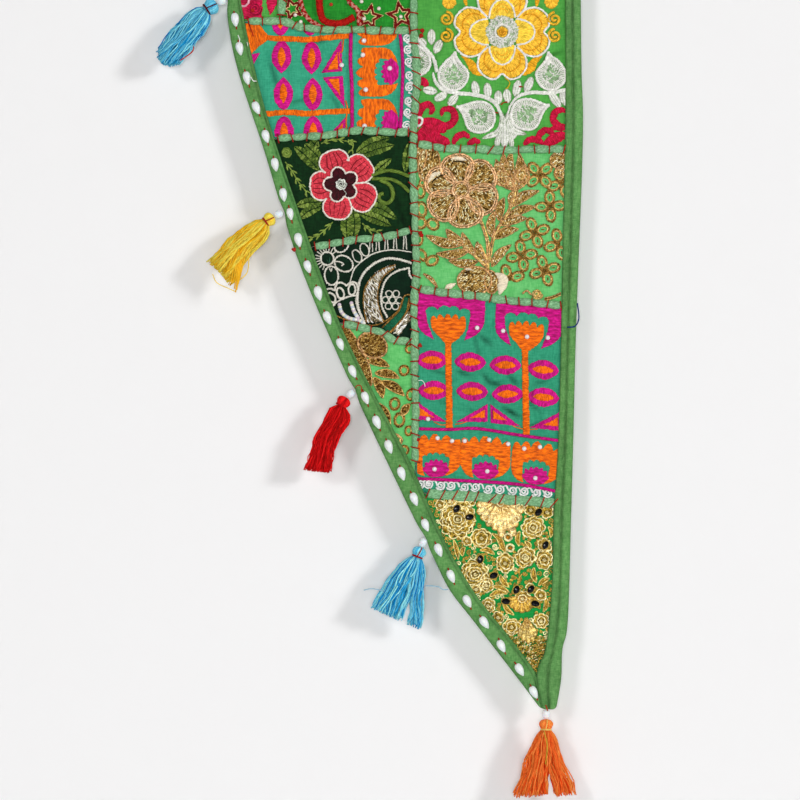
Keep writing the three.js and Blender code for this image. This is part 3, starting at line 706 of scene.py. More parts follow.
def pillow_cord(name, path, size, node, slant=1.2):
    """Lays a pillowed cord along path, (n, 2) points in mm, and ties a red stitch at each pinch."""
    run, along, side = cord_frame(path)
    count = max(1, round(run[-1] / size["pitch"]))
    ties = np.linspace(0, run[-1], count + 1)
    ties[1:-1] += chance.normal(0, 0.09, count - 1) * size["pitch"]
    passed = np.interp(run, ties, np.arange(count + 1))
    share = passed % 1.0
    plump = 1 - size["pinch"] * (1 - np.sin(np.pi * share) ** 0.7)
    plump = (plump * chance.normal(1, 0.06, count + 2)[passed.astype(int)])[:, None]
    angle = np.radians([-38, -12, 12, 38, 62, 90, 118, 142, 168, 192, 218])[None, :]
    over_x = np.cos(angle) * size["half"] * plump
    off = 0.35 + np.clip(np.sin(angle) + 0.35, 0, None) / 1.35 * size["high"] * plump
    off = off + chance.normal(0, 0.13, off.shape) * (off > 1)
    x = path[:, :1] + side[:, :1] * over_x
    z = path[:, 1:] + side[:, 1:] * over_x
    around = np.broadcast_to(angle * size["half"], x.shape)
    uv = np.stack([np.broadcast_to(run[:, None], x.shape), around + run[:, None] * 0.35], -1)
    every = np.arange(0, run[-1] + 4, 4)
    tone = 1 + 0.05 * np.interp(run, every, chance.normal(0, 1, int(run[-1] / 4) + 2)[: len(every)])
    work = Work()
    work.add(on_cloth(x, z, off), uv, YARN_COLOUR * tone[:, None])
    made = work.piece(name, yarn, "couching_cord", [node])
    for tie in ties:
        at = np.array([np.interp(tie, run, path[:, k]) for k in (0, 1)])
        way = np.array([np.interp(tie, run, along[:, k]) for k in (0, 1)])
        lean = chance.normal(slant, 1.0)
        half = size["half"] * 0.78 + 1.3
        t = np.linspace(-1, 1, 13)
        line = at + np.outer(t * half, [-way[1], way[0]]) + np.outer(t * lean, way)
        rise = 0.45 + (size["high"] * 0.78 + 0.35) * np.sqrt(np.clip(1 - np.abs(t) ** 3.2, 0, 1))
        length, _, aside = cord_frame(line)
        *rings, uv = thread_rings(line, length, aside, 0.58, rise[:, None], around=6, twist=0.7)
        tie_work.add(on_cloth(*rings), uv, STITCH_RED * chance.normal(1, 0.1))
    return made


def thread_rings(path, run, side, radius, rise, around, twist):
    """Rings square to a path on the flat, with their middles at height rise: their x, z and height off
    the cloth, and thread coordinates that wind round by twist mm for each mm of thread."""
    angle = -np.pi / 2 + 2 * np.pi * np.arange(around) / around
    x = path[:, :1] + side[:, :1] * np.cos(angle) * radius
    z = path[:, 1:] + side[:, 1:] * np.cos(angle) * radius
    uv = np.stack([np.broadcast_to(run[:, None], x.shape), angle * radius + run[:, None] * twist], -1)
    return x, z, rise + np.sin(angle) * radius, uv


def knot(x, z, radius=1.9, rise=1.3, lumps=0.18):
    """A small hard knot: a ball squashed on the cloth, with a lumpy outline."""
    level = np.linspace(-0.9, 1.45, 6)[:, None]
    angle = np.linspace(0, 2 * np.pi, 10, endpoint=False)[None, :]
    lump = 1 + lumps * np.sin(angle * 3 + chance.uniform(0, 6)) * np.cos(level)
    px = x + radius * np.cos(level) * np.cos(angle) * lump
    pz = z + radius * np.cos(level) * np.sin(angle) * lump
    off = rise + radius * 0.8 * np.sin(level) + 0 * angle
    tie_work.add(on_cloth(px, pz, off), np.stack([px, pz], -1), STITCH_RED * 1.1)


def along_z(curve, bottom):
    """Points down a join from the heading, with the small wander of a cord laid by hand."""
    z = np.arange(-HEADING - 0.5, bottom, -CORD_STEP)
    return np.stack([curve(z) + 0.25 * np.sin(z / 9.0) + 0.15 * np.sin(z / 3.7), z], -1)


def along_x(curve, left, right):
    """Points across a join, with the same wander."""
    x = np.arange(left, right, CORD_STEP)
    return np.stack([x, curve(x) + 0.3 * np.sin(x / 8.0) + 0.15 * np.sin(x / 3.3)], -1)


def cross_span(name, from_edge, to_edge):
    """Where a cross join's cord starts and ends, found by going to and fro between the curves."""
    start = end = 0.0
    for _ in range(12):
        start = float(from_edge(CROSS[name](start)))
        end = float(to_edge(CROSS[name](end)))
    return start + 3.2, end


pillow_cord("couched_cord_main", along_z(main_join, -431), CORD, "cord_main")
pillow_cord("couched_cord_short", along_z(short_join, -52), CORD, "cord_short")
for name in ("star", "anemone", "paisley", "sprig"):
    span = cross_span(name, curved_inner, lambda z: main_join(z) - CORD["half"])
    pillow_cord(f"couched_cord_{name}", along_x(CROSS[name], *span), CORD, f"cord_{name}", slant=0.4)
for name in ("zari", "tulip"):
    span = cross_span(name, lambda z: main_join(z) + CORD["half"] - 2.6, straight_inner)
    pillow_cord(f"couched_cord_{name}", along_x(CROSS[name], *span), CORD, f"cord_{name}", slant=0.4)
span = cross_span("rosette", curved_inner, straight_inner)
pillow_cord(
    "couched_cord_rosette", along_x(CROSS["rosette"], *span), BORDER_CORD, "cord_rosette", slant=2.6,
)
for x, z in ((-126, -47.5), (-91, -250.5), (16.5, -236.5), (16, -332), (14, -412), (17, -69)):
    knot(x, z)
tie_work.piece("red_tie_stitches", cotton_thread, "couching_cord")

# %% [markdown]
# ## Stitching
# Everything embroidered is one of three things: a satin fill, which is thread laid side by side from
# one line to another; a cord, laid along one line; or a bead. A shape is worked out flat, in mm on the
# patch, with its height off the cloth. Once a patch is complete, all its points are kept inside the
# patch, sunk towards the seams, and laid on the cloth's face together.

# %% Lines and outlines


def spline(points, steps):
    """A Catmull-Rom spline. Between two points it is the cubic that passes both, and at each of them it
    runs along the line between that point's neighbours."""
    p = np.asarray(points, float)
    p = np.concatenate([[2 * p[0] - p[1]], p, [2 * p[-1] - p[-2]]])
    t = np.linspace(0, 1, steps)[:-1, None, None]
    a, b, c, d = (p[k : len(p) - 3 + k] for k in range(4))
    spans = 2 * b + (c - a) * t + (2 * a - 5 * b + 4 * c - d) * t**2 + (3 * b - a - 3 * c + d) * t**3
    return np.concatenate([spans.transpose(1, 0, 2).reshape(-1, p.shape[1]) / 2, p[-2:-1]])


def evenly(points, spacing):
    """The same line with points at even steps along it."""
    points = np.asarray(points, float)
    run = np.concatenate([[0], np.cumsum(np.linalg.norm(np.diff(points, axis=0), axis=1))])
    at = np.linspace(0, run[-1], max(3, int(run[-1] / spacing) + 2))
    return np.stack([np.interp(at, run, points[:, k]) for k in (0, 1)], -1)


def smooth(points, spacing=1.1):
    """A spline through the points, at even steps."""
    return evenly(spline(points, 12), spacing)


def placed(points, at=(0, 0), turn=0, size=1):
    """Points scaled, turned by an angle in degrees, and moved."""
    c, s = np.cos(np.radians(turn)), np.sin(np.radians(turn))
    return np.asarray(points, float) * size @ np.array([[c, s], [-s, c]]) + at


def closed(a, b):
    """The outline with sides a and b: out along one side, and home along the other."""
    return np.concatenate([a, b[::-1]])


def shrunk(outline, share, centre):
    """An outline at a share of its size about a centre."""
    return centre + (outline - centre) * share


def matched(a, b, count):
    """Two lines given the same number of points, each at even shares of its own points."""
    t = np.linspace(0, 1, count)
    return (np.stack([np.interp(t, np.linspace(0, 1, len(p)), p[:, k]) for k in (0, 1)], -1) for p in (a, b))


def circle(at, radius, squash=1.0, turn=0, wave=0.0, lobes=0, spacing=1.05):
    """A closed ring round a point. It can be squashed, or waved into lobes."""
    angle = np.linspace(0, 2 * np.pi, max(13, int(2 * np.pi * radius / spacing) + 1))
    reach = radius * (1 + wave * np.cos(lobes * angle))
    return placed(np.stack([reach * np.cos(angle), reach * squash * np.sin(angle)], -1), at, turn)


def spiral(at, radius, turns, start=0, hand=1):
    """A line that winds out evenly round a point, from 0.12 of a radius to all of it. It ends at the
    angle start, in degrees."""
    t = np.linspace(0, 1, max(10, int(turns * radius * 4)))
    angle = np.radians(start) + hand * 2 * np.pi * turns * (t - 1)
    reach = radius * (0.12 + 0.88 * t)
    return np.stack([at[0] + reach * np.cos(angle), at[1] + reach * np.sin(angle)], -1)


def arched(cusps, bulge):
    """A line from cusp to cusp that bows out to its left by a share of each step, as a power of a sine."""
    cusps = np.asarray(cusps, float)
    t = np.linspace(0, 1, 9)[:-1, None]
    spans = []
    for a, b in zip(cusps, cusps[1:]):
        out = np.array([a[1] - b[1], b[0] - a[0]])
        spans.append(a + (b - a) * t + out * bulge * np.sin(np.pi * t) ** 0.7)
    return np.concatenate([*spans, cusps[-1:]])


def blade(path, width, widest=0.5, ends=(0.8, 0.8), spacing=1.05):
    """The two sides of a leaf along a middle line. They stand apart by width times a sine that peaks at
    share widest of the way; a lower power in ends makes an end blunter."""
    middle = smooth(path, spacing)
    t = np.linspace(0, 1, len(middle))
    power = ends[0] + (ends[1] - ends[0]) * t
    half = width / 2 * np.sin(np.pi * t ** (np.log(0.5) / np.log(widest))).clip(0) ** power
    step = np.gradient(middle, axis=0)
    step /= np.linalg.norm(step, axis=1, keepdims=True) + 1e-9
    side = np.stack([-step[:, 1], step[:, 0]], -1) * half[:, None]
    return middle + side, middle - side


# %% The embroidery of one patch
KINDS = {"floss": floss, "cotton": cotton_thread, "metal": metal_thread, "bead": pearl, "stone": jet}
EMBED = 0.35  # how far the underside of every filled shape is sunk in the cloth, in mm
DEEPEST = -0.8  # how far a cord may sink without coming out behind
INSET = 1.2  # how far all of it stays inside the patch
# how far a thread's colour strays from station to station: random tone for floss and cotton, painted glint
# for metal
UNEVEN = {"floss": 0.13, "cotton": 0.09, "metal": 0.3}
WOBBLE = {"floss": 0.08, "cotton": 0.17, "metal": 0.14}  # how far a cord's thickness strays


class Stitching:
    """All that is sewn on one patch, gathered by kind of thread; kind is the one it mostly uses. Points
    are x, -height, z until the end, when they are laid on the cloth."""

    def __init__(self, patch, kind="floss"):
        self.patch, self.kind, self.works = patch, kind, {}

    def lay(self, kind, x, off, z, tint, uv=None):
        """Adds skins, given as x, height off the cloth and z, to the work of one kind of thread."""
        rings = np.stack(np.broadcast_arrays(x, -off, z), -1)
        self.works.setdefault(kind, Work()).add(rings, rings[..., [0, 2]] if uv is None else uv, tint)

    def uneven(self, colour, count, kind):
        """The colour at each station: it wanders a little, and for metal thread it jumps further, as a
        painted glint at each turn.
        """
        near = chance.normal(0, 1, count)
        near = near * 0.7 + 0.3 * np.roll(near, 1)
        return colour_of(colour) * (1 + UNEVEN[kind] * near[:, None]).clip(0.35, 2.2)

    def fill(self, a, b, colour, high=0.7, lift=0.0, kind=None, ragged=0.24, grain=None):
        """Satin stitch from line a to line b, at their own even steps: a low pillow whose edges are
        rounded over about 0.7 mm, whose ends are a little ragged, and whose stitches run from a to b,
        or in long level rows at grain degrees from level."""
        kind, count = kind or self.kind, max(int(0.8 * max(len(a), len(b))), 3)
        a, b = matched(a, b, count)
        across = np.linalg.norm(b - a, axis=1)[:, None]
        toward = (b - a) / (across + 1e-6)
        a = a + toward * chance.normal(0, ragged, (count, 1)) * np.minimum(across, 1)
        b = b + toward * chance.normal(0, ragged, (count, 1)) * np.minimum(across, 1)
        edge = np.clip(0.7 / (across + 1e-6), 0.02, 0.33)
        inner = np.linspace(0, 1, 3 + int(across.max() / 3.5))[None, :]
        under = np.array([[0.8, 0.5, 0.2]] if across.max() > 8 else [[0.5]]) + 0 * across
        over = edge + (1 - 2 * edge) * inner
        share = np.concatenate([0 * edge, 0.3 * edge, over, 1 - 0.3 * edge, 1 + 0 * edge, under], axis=1)
        rough = chance.normal(1, 0.14 if grain is None else 0.04, (count, 1)).clip(0.6, 1.4)
        top = lift + np.minimum(high, 0.42 * across + 0.08) * rough
        dome = top * (0.9 + 0.1 * np.sin(np.pi * inner))
        deep = -EMBED + 0 * edge
        off = np.concatenate([deep, 0.6 * top, dome, 0.6 * top, deep, deep + 0 * under], axis=1)
        flat = a[:, None] + (b - a)[:, None] * share[..., None]
        run = np.concatenate([[0], np.cumsum(np.linalg.norm(np.diff((a + b) / 2, axis=0), axis=1))])
        uv = np.stack([share * across, np.broadcast_to(run[:, None], share.shape)], -1)
        tint = self.uneven(colour, count, kind)
        if grain is not None:
            uv, tint = 0.62 * placed(flat, turn=-grain), colour_of(colour)
        self.lay(kind, flat[..., 0], off, flat[..., 1], tint, uv)

    def line(self, path, radius, colour, kind=None, lift=0.0, around=5, rise=0.45):
        """A cord along a line, half sunk in the cloth, at one radius or one for each point."""
        kind, path = kind or self.kind, np.asarray(path, float)
        around = min(around, 4) if np.max(radius) < 0.62 else around
        run, _, side = cord_frame(path)
        radius = np.broadcast_to(np.asarray(radius, float), run.shape)[:, None]
        stray = np.minimum(radius, 0.8) * WOBBLE[kind] * chance.normal(0, 1, (2, *radius.shape)).clip(-2, 2)
        path, radius = path + side * stray[0], radius + stray[1]
        x, z, off, uv = thread_rings(path, run, side, radius, lift + rise * radius, around, twist=0.6)
        self.lay(kind, x, np.maximum(off, DEEPEST), z, self.uneven(colour, len(path), kind), uv)

    def curve(self, points, radius, colour, kind=None, lift=0.0, **how):
        """A cord along the spline through a few points."""
        self.line(smooth(points), radius, colour, kind, lift, **how)

    def leaf(self, path, width, colour, widest=0.5, ends=(0.8, 0.8), **how):
        """A satin leaf along a middle line. Returns its two sides."""
        a, b = blade(path, width, widest, ends)
        self.fill(a, b, colour, **how)
        return a, b

    def disc(self, at, radius, colour, turn=0, inner=0.0, wave=0.0, lobes=0, **how):
        """Satin stitched from a small ring out to a larger one, which can be waved into lobes."""
        outer = circle(at, radius, 1.0, turn, wave, lobes)
        self.fill(shrunk(outer, max(inner, 0.02), np.asarray(at, float)), outer, colour, **how)

    def bits(self, outline, tones, long=2.0, pitch=1.36, turn=35, lift=0.5, radius=0.6):
        """Short cut lengths of purl sewn side by side over an outline's whole inside, in staggered
        rows. Each bit is one coil with its own tone and a little tilt of its own; the pale tones among them
        are painted glints and the dark ones painted shade. A bit is inside when a level line from it
        crosses the outline an odd number of times."""
        outline = np.asarray(outline, float)
        reach = np.ptp(outline, axis=0).max() * 0.75 + 3
        rows, columns = int(2 * reach / pitch), int(2 * reach / long)
        j, i = np.meshgrid(np.arange(rows), np.arange(columns), indexing="ij")
        grid = np.stack([(i + 0.5 * (j % 2)) * long, j * pitch], -1).reshape(-1, 2) - reach
        grid = grid + chance.normal(0, 0.16, grid.shape)
        at = placed(grid, outline.mean(0), turn)
        x0, z0, x1, z1 = *outline.T, *np.roll(outline, -1, 0).T
        spans = (z0[:, None] > at[:, 1]) != (z1[:, None] > at[:, 1])
        meets = x0[:, None] + (at[:, 1] - z0[:, None]) / (z1 - z0 + 1e-9)[:, None] * (x1 - x0)[:, None]
        at = at[(spans & (at[:, 0] < meets)).sum(0) % 2 == 1]
        if not len(at):
            return
        way = np.radians(turn) + chance.normal(0, 0.22, len(at))
        along, side = (
            np.stack([np.cos(a), np.sin(a)], -1)[:, None, None] for a in (way, way + np.pi / 2)
        )
        down = np.linspace(-0.5, 0.5, 3)[None, :, None, None] * long
        angle = (-np.pi / 2 + 2 * np.pi * np.arange(4) / 4)[None, None, :, None]
        thick = radius * np.array([0.72, 1.0, 0.72])[None, :, None, None]
        flat = at[:, None, None] + along * down + side * np.cos(angle) * thick
        off = lift + chance.normal(0.35, 0.12, (len(at), 1, 1)) + (np.sin(angle) * thick)[..., 0]
        # each bit's tone is picked at random: painted glints and painted shade among real tones
        palette = np.array([colour_of(tone) for tone in tones])
        picked = palette[chance.integers(0, len(tones), len(at))] * chance.normal(1, 0.12, (len(at), 1))
        self.lay("metal", flat[..., 0], off, flat[..., 1], picked[:, None])

    def bead(self, at, radius, colour, kind="bead", high=0.9, squash=1.0, turn=0, lift=0.2):
        """A bead or a stone: a dome on the cloth."""
        level = np.radians([-25, 5, 30, 55, 78])[:, None]
        angle = np.linspace(0, 2 * np.pi, 12, endpoint=False)[None, :]
        x, z = radius * np.cos(level) * np.cos(angle), radius * squash * np.cos(level) * np.sin(angle)
        flat = placed(np.stack([x, z], -1), at, turn)
        off = lift + high * radius * (0.4 + np.sin(level))
        self.lay(kind, flat[..., 0], off, flat[..., 1], colour_of(colour))

    def finish(self):
        """Lays the points on the cloth, and makes one piece of each kind of thread."""
        left, right, bottom, top = PATCHES[self.patch][:4]
        made = []
        for kind, work in self.works.items():
            x, off, z = np.concatenate(work.points).T
            for _ in range(2):
                x = np.clip(x, left(z) + INSET, right(z) - INSET)
                z = np.clip(z, bottom(x) + INSET, top(x) - INSET)
            off = off * (0.3 + 0.7 * soft_step(0.5, 4.5, seam_distance(x, z)))
            work.points = [np.stack([x, front(x, z) + off, z], -1)]
            name, slot = f"stitched_{self.patch}_{kind}", f"cloth_{self.patch}"
            made.append(work.piece(name, KINDS[kind], slot, smooth=kind != "stone"))
        return made


print("stitching:", len(KINDS), "kinds of thread and bead")

# %% [markdown]
# ## Tulips and crowns
# Two patches come from the same folk embroidery: teal cotton worked in magenta and orange satin, with
# tulips on tall stems, lens-shaped leaves, and crowns that open over a small flower. One patch has it
# upright, and the other has it turned on its side.

# %% Motifs shared by the tulip and lattice patches
MAGENTA, ORANGE = "#CE0C84", "#F67200"


def crown(stitches, at, turn=0, size=1.0):
    """An orange crown with five round teeth and two inturned legs, round a magenta flower."""
    put = lambda points, spacing: evenly(placed(points, at, turn, size), spacing)
    teeth = arched([(-21.6, 12.4), (-14.6, 13.6), (-6.2, 13), (4, 12.8), (13.4, 12), (20.8, 8.6)], 0.62)
    left = smooth([(-10, -17), (-16.4, -14), (-21, -7), (-22, 4)])
    right = smooth([(21, -4), (19.6, -9), (14.4, -14), (7, -17)])
    cusps = [(-11.6, -2.4), (-7.8, 0.2), (-2.6, 1.2), (2.8, 1), (8, -0.8), (11, -4.4)]
    inner = np.concatenate([[(-10, -17), (-11.4, -9)], arched(cusps, 0.42), [(10.4, -9), (7, -17)]])
    stitches.fill(put(np.concatenate([left, teeth, right]), 0.8), put(inner, 0.55), ORANGE, grain=turn)
    lobes = [
        (-8.8, -13), (-9.4, -8.4), (-6, -5.6), (-2.2, -4.6), (2.2, -4.6), (6, -5.6), (9.2, -8.4),
        (8.8, -13),
    ]
    base = smooth(placed([(-7.4, -16), (-4, -17.6), (4, -17.6), (7.4, -16)], at, turn, size), 0.5)
    stitches.fill(put(arched(lobes, 0.6), 0.7), base, MAGENTA, high=0.8, grain=turn)


def lens(stitches, at, turn):
    """A magenta lens with a smaller orange one on it."""
    for length, width, colour, lift in ((27.4, 16.8, MAGENTA, 0), (27.4 * 0.68, 16.8 * 0.42, ORANGE, 0.6)):
        path = placed([(-length / 2, 0), (0, 0), (length / 2, 0)], at, turn)
        stitches.leaf(path, width, colour, ends=(0.62, 0.62), lift=lift)


def pennant(stitches, tip, far, near, inset=0.34):
    """A magenta triangle with its point at tip, and a smaller orange one on it."""
    tip, far, near = (np.asarray(p, float) for p in (tip, far, near))
    middle = tip * 0.16 + (far + near) * 0.42
    for share, colour, lift in ((1, MAGENTA, 0), (1 - inset * 1.5, ORANGE, 0.6)):
        a, b, c = (shrunk(p, share, middle) for p in (tip, far, near))
        stitches.fill(evenly([a, b], 0.8), evenly([a, c], 0.8), colour, lift=lift)


# %% The tulip patch
tulips = Stitching("tulip")
SIDES = [(-12, 4), (-20, 8.6), (-25.6, 15.4), (-27, 24)], [(31.5, 24), (29.6, 14.6), (23, 7.4), (13.4, 3)]
BLOCK = np.concatenate([smooth(SIDES[0]), [(-27, 48), (31.5, 48)], smooth(SIDES[1])])
HOLLOW = arched([(-19, 29), (-8.7, 29), (1, 31), (9.5, 28.4), (19, 26.5)], 0.3)
HOLLOW = np.concatenate([[(-12, 4), (-13.6, 8.7), (-17.6, 19)], HOLLOW, [(18, 19), (16.4, 12), (13.4, 3)]])
CUP = [(-15, 20), (-13.4, 12.6), (-7.4, 6.2), (-1.6, 0), (2, 0), (9.6, 5.6), (14.6, 12.6), (15, 18.4)]
PETALS = arched([(-15, 20), (-9.4, 20.8), (-3.4, 22), (2.6, 21.8), (8.8, 20.4), (15, 18.4)], 0.72)
for at, turn in (((40, -331), 0), ((105.2, -337), -3.6)):
    shapes = (BLOCK, 0.9), (HOLLOW, 0.65), (PETALS, 0.7)
    block, hollow, petals = (evenly(placed(shape, at, turn), step) for shape, step in shapes)
    tulips.fill(block, hollow, MAGENTA, grain=turn)
    tulips.fill(petals, smooth(placed(CUP, at, turn), 0.7), ORANGE, high=0.9, grain=turn)
    stem = (evenly([(at[0] + s * 2.7, at[1] + 2), (at[0] + 1.2 + s * 3, at[1] - 71)], 0.9) for s in (-1, 1))
    tulips.fill(*stem, ORANGE, high=1.0, lift=0.15)
for x, z, turn in (
    (26.3, -344.4, 0), (58.8, -346, -3), (88.6, -348.6, -1), (120.7, -352.6, -6),
    (27.8, -370.2, 0), (60.4, -371, -3), (90.6, -373.2, 1), (121, -376, -5),
):
    lens(tulips, (x, z), turn)
for corners in (
    ((40.2, -397.4), (13, -379.6), (13, -395)), ((46.4, -397.2), (73.6, -381.4), (73.4, -396.9)),
    ((102, -401), (75.8, -381.6), (76.2, -398)), ((108.6, -401.8), (135.6, -388), (135.6, -405)),
):
    pennant(tulips, *corners)
for radius, colour, path in (
    (0.42, ORANGE, [(28, -397), (34, -399.5), (41, -399)]),
    (0.42, ORANGE, [(46, -399), (52, -398), (60, -395)]),
    (0.42, ORANGE, [(92, -398), (98, -401.6), (104, -403)]), (0.42, ORANGE, [(108, -403.4), (116, -403)]),
    (1.5, MAGENTA, [(13, -402.6), (40, -403.4), (65, -402.6), (102, -408.4), (136, -413)]),
    (1.6, MAGENTA, [(10, -445), (51, -446.8), (98, -449.8), (136, -456.6)]),
):
    tulips.curve(path, radius, colour)
for at, turn in (((29.8, -426.2), 0), ((72, -428), -1.5), ((115.2, -432.6), -5)):
    crown(tulips, at, turn)
WHITE_CURL, PINK_PEARL = "#F2F3F1", "#F4F1F2"
for index, x in enumerate([16.4, 23.5, 33.6, 42.4, 53.6, 63, 74, 84, 94.6, 104.5, 115, 124.8]):
    z = CROSS["rosette"](x) + 7.6 + 0.6 * (index % 2)
    tulips.line(spiral((x, z), 4.0, 1.8, start=200, hand=-1), 0.85, WHITE_CURL, "cotton", lift=0.2)
    tulips.curve([(x + 2.5, z + 2), (x + 5, z + 3), (x + 7.4, z - 1.5)], 0.8, "#EEF0EE", "cotton")
for at in (
    (64.6, -317), (86.7, -319.6), (124.6, -325.4), (107, -324.6), (22.9, -394.4), (31, -410.6),
    (43.3, -413), (54, -413), (74.8, -412), (91, -415.6), (104.6, -419.6), (118, -418.2), (28.4, -437),
    (73.2, -438.8), (114, -444.6),
):
    tulips.bead(at, 2.0, PINK_PEARL, lift=0.7)
sewn = {"tulip": tulips.finish()}

# %% The lattice patch
lattice = Stitching("lattice")
for path in (
    [(-114, -70.4), (-107, -71.2), (-94, -71.4), (-80, -72.2), (-62, -70.4), (-43, -68.8)],
    [(-118, -135.4), (-108, -134.6), (-94, -134), (-80, -135), (-62, -133.6), (-43, -132.8)],
):
    middle = smooth(path)
    lattice.fill(middle + [0, 2.5], middle - [0, 2.5], ORANGE, high=0.9, lift=0.15)
upper = evenly([(-139, -58), (-121, -58), (-113.4, -68), (-112, -70.6)], 0.9)
lower = evenly([(-131, -88), (-119.6, -77), (-113.4, -73), (-112, -71)], 0.9)
lattice.fill(upper, lower, ORANGE)
lattice.curve([(-130, -57), (-127.6, -63), (-125.4, -69.6)], 0.5, "#B3240F", lift=0.8)
lattice.fill(evenly([(-130, -85), (-119.6, -83)], 0.9), evenly([(-130, -94), (-125.8, -94)], 0.9), MAGENTA)
for x, z, top, foot in (
    (-101.5, -87, 0.45, 0.9), (-76, -87.8, 0.45, 0.9), (-100, -117.8, 0.9, 0.5), (-75, -118.4, 0.9, 0.5),
    (-99.4, -151, 0.5, 0.9), (-74.6, -151, 0.5, 0.9), (-102.4, -55, 0.9, 0.5), (-77.6, -55, 0.9, 0.5),
):
    for size, wide, colour, lift in ((28.2, 17, MAGENTA, 0), (17.6, 7.2, ORANGE, 0.6)):
        path = [(x, z + size / 2), (x, z), (x, z - size / 2)]
        lattice.leaf(path, wide, colour, ends=(top, foot) if lift == 0 else (0.7, 0.7), lift=lift)
for corners in (
    ((-50.3, -71.4), (-67.8, -100.6), (-49.8, -99)), ((-47.6, -131), (-66.8, -104.4), (-49.2, -103)),
    ((-46.4, -137), (-60, -152), (-47.6, -152)),
):
    pennant(lattice, *corners, inset=0.3)
for radius, colour, lift, path in (
    (0.55, ORANGE, 0.3, [(-48.8, -71), (-50, -82), (-52.6, -84), (-50.4, -98)]),
    (0.6, ORANGE, 0.3, [(-47, -124), (-45.6, -131), (-46.6, -140), (-46, -152)]),
    (1.75, MAGENTA, 0, [(-42.4, -64), (-43, -90), (-41.8, -112), (-41.6, -152)]),
    (1.6, MAGENTA, 0, [(-1, -66), (1.4, -93), (0.4, -127), (-1, -152)]),
):
    lattice.curve(path, radius, colour, lift=lift)
for z in (-56, -99.3, -142.8):
    crown(lattice, (-19.3, z), turn=90, size=0.98)
for index, z in enumerate([-70.6, -81.2, -90.8, -102.4, -112.8, -124.2, -133.8, -145.4]):
    x, hand = float(main_join(z)) - 6.0, 1 - 2 * (index % 3 == 1)
    lattice.line(spiral((x, z), 4.1, 1.9, start=20, hand=hand), 0.85, WHITE_CURL, "cotton", lift=0.2)
    lattice.curve([(x - 1, z - 4), (x + 2, z - 5.6), (x + 3.6, z - 7)], 0.75, "#EEF0EE", "cotton")
for at in (
    (-31.5, -73.2), (-32.5, -85.4), (-30, -114.8), (-31, -145.7), (-9.6, -96.6), (-50.4, -94),
    (-130.8, -75.8),
):
    lattice.bead(at, 2.1, PINK_PEARL, lift=0.7)
sewn["lattice"] = lattice.finish()

# %% [markdown]
# ## The bloom patch
# Green cotton with one large yellow flower under two white sprays. The flower has four heart-shaped
# outer petals and four round inner ones, each edged in a thick white cord. The sprays carry paisleys
# filled with short stitches that point inwards, and buds as plain satin pills.

# %% The yellow flower
bloom = Stitching("bloom")
CREAM, GOLD, AMBER = "#F4F3ED", "#FFD848", "#FFC63A"


def speckle(at, radius, count, inner=0.0, squash=1.0, lift=0.3):
    """Short white stitches that point every way, scattered evenly over a ring round a point."""
    reach = radius * np.sqrt(chance.uniform(inner**2, 1, count))
    way = chance.uniform(0, 2 * np.pi, count)
    spots = placed(np.stack([reach * np.cos(way), squash * reach * np.sin(way)], -1), at)
    for spot, way in zip(spots, chance.uniform(0, 360, count)):
        stitch = placed([(-1.1, 0), (0, 0.35), (1.1, 0)], spot, way)
        bloom.line(stitch, 0.42, CREAM, "cotton", lift)


MIDDLE = np.array([85.9, -65.8])
HEART = [
    (-12.6, 12.5), (-19.2, 20), (-20.4, 30), (-14.4, 38), (-6.4, 40), (0, 35.6), (6, 40), (14, 38.2),
    (20.4, 30.4), (19.4, 20.4), (12.6, 12.5),
]
for turn, size in ((0, 1.0), (90, 1.01), (180, 1.0), (-90, 1.0)):
    heart = smooth(placed(HEART, MIDDLE, turn, size), 1.0)
    core = placed([(0, 15)], MIDDLE, turn)
    bloom.fill(shrunk(heart, 0.02, core), shrunk(heart, 0.52, core), GOLD)
    bloom.fill(shrunk(heart, 0.5, core), shrunk(heart, 0.96, core), AMBER, high=0.9)
    bloom.line(shrunk(heart, 0.74, core)[8:-8], 0.4, "#E59A10", lift=0.75)
    bloom.line(heart, 1.05, CREAM, "cotton", lift=0.1)
    arch = placed(circle((0, 12), 11, squash=1.42, spacing=1.0), MIDDLE, turn)
    half = arch[: len(arch) // 2 + 1]
    bloom.fill(half, half * 0.1 + placed([(0, 10)], MIDDLE, turn) * 0.9, GOLD, high=1.2)
    bloom.line(half, 0.95, CREAM, "cotton", lift=0.5)
    if turn in (0, 180):
        for reach in (0.5, 0.74):
            inner = placed(circle((0, 12), 11 * reach, squash=1.42), MIDDLE, turn)
            bloom.line(inner[3 : len(inner) // 2 - 2], 0.6, AMBER, lift=1.15)
bloom.disc(MIDDLE, 14, "#B3C6A4", inner=0.3, high=1.3, lift=0.4)
speckle(MIDDLE, 13.6, 230, inner=0.45, lift=1.7)
bloom.line(circle(MIDDLE, 6), 0.9, CREAM, "cotton", lift=1.8)
bloom.disc(MIDDLE, 4.8, AMBER, high=1.2, lift=1.0)
bloom.line(spiral(MIDDLE, 3.2, 1.6), 0.6, "#E9A41E", lift=2.1)
for x, z, hand in ((38.4, -54.4, 1), (38.4, -69, 1), (130.4, -54.8, -1), (130.6, -69, -1)):
    bloom.line(spiral((x, z), 6.0, 1.7, start=90, hand=hand), 1.25, "#F8C436", lift=0.1)
for x, z in ((40.8, -40.2), (127.6, -39.8)):
    bloom.disc((x, z), 6.1, AMBER)
for path, wide in (
    ([(53.6, -34), (54.6, -40), (56, -44)], 3.4), ([(115.4, -34), (115.8, -40), (115, -44.4)], 4.4),
    ([(50.4, -85.6), (58, -91), (63, -98), (70, -103)], 8.0),
    ([(121, -85.4), (113, -91), (109, -97), (101.5, -102.4)], 8.0),
):
    bloom.leaf(path, wide, "#EFAE1E", widest=0.6)

# %% The white sprays and the crimson curls
BUD_SHADE_GREY, BUD = "#A3B295", "#ECEDE5"


